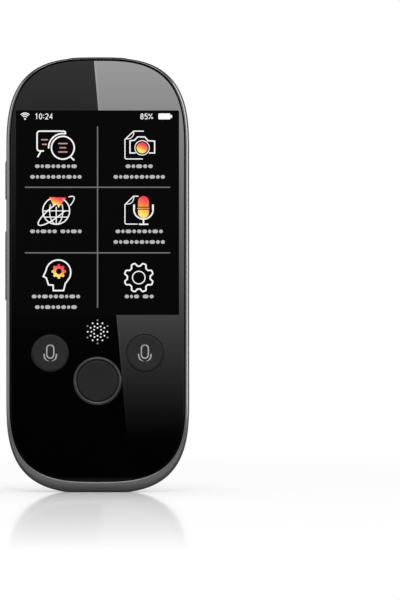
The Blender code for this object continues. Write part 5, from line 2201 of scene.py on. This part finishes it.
@dataclass
class Studio:
    """Pale floor, white surround, soft lamps, reflection card and camera."""

    shape: Shape
    lens: float = 250.0
    sensor: float = 36.0
    frame_pixels: Point = (400.0, 600.0)
    foot_pixel: Point = (97.55, 492.5)
    metres_per_pixel: float = 0.0002918
    floor_radii: Point = (0.02, 0.36)
    floor_fade: Point = (0.01, 0.08)
    floor_ahead: Point = (-0.12, -0.04)
    floor_painted_shadow: tuple[Point, Point] = ((-0.012, -0.003), (0.008, 0.03))
    mirror_share: float = 0.42
    mirror_reach: float = 0.285
    surround: float = 0.55
    strip_heights: tuple[Point, Point] = ((0.02, 0.04), (0.11, 0.14))
    strip_ends: tuple[Point, Point] = ((0.985, 0.990), (-0.984, -0.992))
    ceiling: Point = (0.55, 0.75)
    back_fade: Point = (0.70, 0.85)
    card_y: float = -6.0
    card_low: float = 0.013
    card_slant: tuple[float, float, float] = (0.1261, 0.088, 0.00104)
    card_powers: Point = (1.75, 3.07)
    card_levels: tuple[float, float, float] = (8.2, 0.85, 1.6)
    card_peak: float = 10.0
    lamps: tuple[Lamp, ...] = (
        Lamp("left_box", (-0.62, -0.06, 0.16), (0.60, 0.80), 1.9),
        Lamp("right_box", (0.62, -0.06, 0.16), (0.60, 0.80), 4.2),
        Lamp("high_front", (0.0, -0.70, 0.80), (0.90, 0.60), 4.7),
        Lamp("left_back", (-0.34, 0.76, 0.16), (0.26, 0.80), 2.2),
        Lamp("right_back", (0.34, 0.76, 0.16), (0.26, 0.80), 2.9),
    )

    def camera(self) -> Vector:
        """Make the camera where the photograph's was.

        Returns:
            The camera's place.
        """
        span = self.frame_pixels[1] * self.metres_per_pixel
        distance = span * self.lens / self.sensor
        x = (self.frame_pixels[0] / 2 - self.foot_pixel[0]) * self.metres_per_pixel
        z = (self.foot_pixel[1] - self.frame_pixels[1] / 2) * self.metres_per_pixel
        data = bpy.data.cameras.new("camera")
        data.lens = self.lens
        data.sensor_width = self.sensor
        data.clip_start = 0.01
        data.clip_end = 20.0
        camera = bpy.data.objects.new("camera", data)
        bpy.context.scene.collection.objects.link(camera)
        camera.location = (x, self.shape.front - distance, z)
        camera.rotation_euler = (pi / 2, 0.0, 0.0)
        bpy.context.scene.camera = camera
        return camera.location.copy()

    def rays(self, graph: Graph) -> tuple[Term, Term]:
        """Tell the rays apart.

        Args:
            graph: Graph that takes the nodes.

        Returns:
            1 for rays from the camera and through glass, and 1 for rays from gloss.
        """
        path = graph.node("LightPath").socket.node
        names = ("Is Camera Ray", "Is Transmission Ray", "Is Glossy Ray")
        camera, through, glossy = (Term(graph, path.outputs[name]) for name in names)
        return camera + through, glossy

    def floor(self) -> None:
        """Lay the round floor under the object."""
        rings = [section("Z", circle((0.0, 0.0), radius), 0.0) for radius in self.floor_radii]
        work = bmesh.new()
        centre = work.verts.new((0.0, 0.0, 0.0))
        inner, outer = ([work.verts.new(point) for point in ring] for ring in rings)
        for index, vertex in enumerate(inner):
            after = (index + 1) % len(inner)
            work.faces.new((centre, vertex, inner[after]))
            work.faces.new((vertex, outer[index], outer[after], inner[after]))
        floor = to_object("floor", work)
        floor.data.materials.append(self.floor_material())
        LOG.info("laid the floor")

    def floor_material(self) -> bpy.types.Material:
        """Pale and faintly mirroring near the object, and plain white away from it.

        Gloss sees the floor dimmer, dark in front of the object, and darker still in a painted shadow
        just under it.

        Returns:
            The floor's material.
        """
        material, graph = new_material("pale_floor")
        x, y, _ = graph.axes()
        reach = (x * x + y * y) ** 0.5
        cloth = graph.node("BsdfDiffuse", sockets={"Color": (0.94, 0.94, 0.94)})
        gloss = graph.node("BsdfAnisotropic", sockets={"Color": (1.0, 1.0, 1.0), "Roughness": 0.07})
        fade = (reach / self.mirror_reach) ** 1.8
        share = (1.0 - fade).above(0.0) * self.mirror_share
        white = graph.node("Emission", sockets={"Color": (1.0, 1.0, 1.0), "Strength": 1.0})
        far = reach.between(*self.floor_fade, 0.2, 1.0)
        plain = graph.node("MixShader", sockets={0: far, 1: cloth, 2: white})
        shown = graph.node("MixShader", sockets={0: share, 1: plain, 2: gloss})
        dark = graph.node("Emission", sockets={"Color": (0.0, 0.0, 0.0), "Strength": 1.0})
        ahead = y.between(*self.floor_ahead)
        start, stop = self.floor_painted_shadow
        # Painted shadow: gloss sees the floor 60% darker in a strip under the object, fading out in
        # front of it and behind it.
        under = 1.0 - y.between(*start) * 0.6 * (1.0 - y.between(*stop))
        lit = ahead * under * self.surround
        mirrored = graph.node("MixShader", sockets={0: lit, 1: dark, 2: plain})
        camera, glossy = self.rays(graph)
        seen = graph.node("MixShader", sockets={0: glossy, 1: cloth, 2: mirrored})
        mixed = graph.node("MixShader", sockets={0: camera, 1: seen, 2: shown})
        graph.end("OutputMaterial", mixed)
        return material

    def world(self) -> None:
        """White surround, which gloss sees dimmer, dark overhead and dim behind the object.

        A low strip straight in front and straight behind stays white for gloss.
        """
        world = bpy.data.worlds.new("surround")
        bpy.context.scene.world = world
        world.use_nodes = True
        graph = Graph(world.node_tree)
        camera, glossy = self.rays(graph)
        heading = graph.node("TexCoord", output="Generated")
        split = graph.node("SeparateXYZ", sockets={0: heading}).socket.node
        along, rise = (Term(graph, split.outputs[index]) for index in (1, 2))
        low, high = self.strip_heights
        strip = rise.between(*low) * (1.0 - rise.between(*high))
        back, front = self.strip_ends
        ends = strip * (along.between(*back) + along.between(*front))
        ceiling = rise.between(*self.ceiling, self.surround, 0.02)
        mirrored = ceiling * (1.0 - ends) * (1.0 - along.between(*self.back_fade) * 0.8) + ends
        rest = 1.0 - (camera + glossy)
        share = camera + glossy * mirrored + rest * 0.35
        colour = graph.mix(share, (0.0, 0.0, 0.0), (1.0, 1.0, 1.0))
        shown = graph.node("Background", sockets={"Color": colour, "Strength": 1.0})
        graph.end("OutputWorld", shown)

    def card(self, eye: Vector) -> None:
        """Reflection card behind the camera, seen by gloss alone.

        Its light is drawn in places on the front glass where the camera sees it mirrored.

        Args:
            eye: The camera's place.
        """
        front = self.shape.front
        mirrored = 2 * front - eye.y
        share = (mirrored - front) / (mirrored - self.card_y)
        middle = self.shape.height / 2
        centre = Vector((eye.x - eye.x / share, self.card_y, eye.z + (middle - eye.z) / share))
        half = (self.shape.width / 2 / share, middle / share)
        work = bmesh.new()
        vertices = [
            work.verts.new((centre.x + u * half[0], self.card_y, centre.z + v * half[1]))
            for u, v in ((-1, -1), (1, -1), (1, 1), (-1, 1))
        ]
        work.faces.new(vertices)
        card = to_object("reflection_card", work)
        card.data.materials.append(self.card_material(eye, share))
        card.visible_camera = False
        card.visible_diffuse = False
        card.visible_shadow = False
        card.visible_transmission = False
        LOG.info("hung the reflection card")

    def card_material(self, eye: Vector, share: float) -> bpy.types.Material:
        """Light of the card: bright right of a slanted edge, dim left of it, fading downwards.

        Args:
            eye: The camera's place.
            share: Size of the front glass as against the card's.

        Returns:
            The card's material.
        """
        material, graph = new_material("card_light")
        across, _, up = graph.axes()
        x = (across - eye.x) * share + eye.x
        z = (up - eye.z) * share + eye.z
        top, slant, shift = self.card_slant
        edge = x - (top - z) * slant + shift
        bright = edge.between(-0.0001, 0.0001)
        height = ((z - self.card_low) / (self.shape.height - self.card_low)).above(0.0)
        level = height ** self.card_powers[0]
        dim = height ** self.card_powers[1]
        rim = bright - edge.between(0.0002, 0.0007)
        right, left, line = self.card_levels
        strength = bright * level * right + (1.0 - bright) * dim * left + rim * level * line
        peak = self.card_peak
        colour = graph.mix(strength / peak, (0.0, 0.0, 0.0), (peak, peak, peak))
        light = graph.node("Emission", sockets={"Color": colour, "Strength": 1.0})
        graph.end("OutputMaterial", light)
        return material

    def build(self) -> None:
        """Set the whole studio up."""
        eye = self.camera()
        self.floor()
        self.world()
        self.card(eye)
        target = Vector((0.0, 0.0, self.shape.height / 2))
        for lamp in self.lamps:
            lamp.build(target)
        bpy.context.scene.view_settings.view_transform = "Standard"


def main() -> None:
    """Build every sub-assembly on the frame."""
    logging.basicConfig(level=logging.INFO, format="%(message)s")
    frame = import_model()
    shape = Shape()
    Studio(shape).build()
    Interior().dress(frame["nodes"])
    Band(shape).build()
    TopTrim(shape).build()
    CoverGlass(shape).build()
    Picture(shape).build()
    Indicator(shape).build()
    FrontButtons(shape).build()
    SideKeys(shape).build()
    RearCover(shape).build()
    Camera(shape).build()
    ChargingSocket(shape).build()


if __name__ == "__main__":
    main()
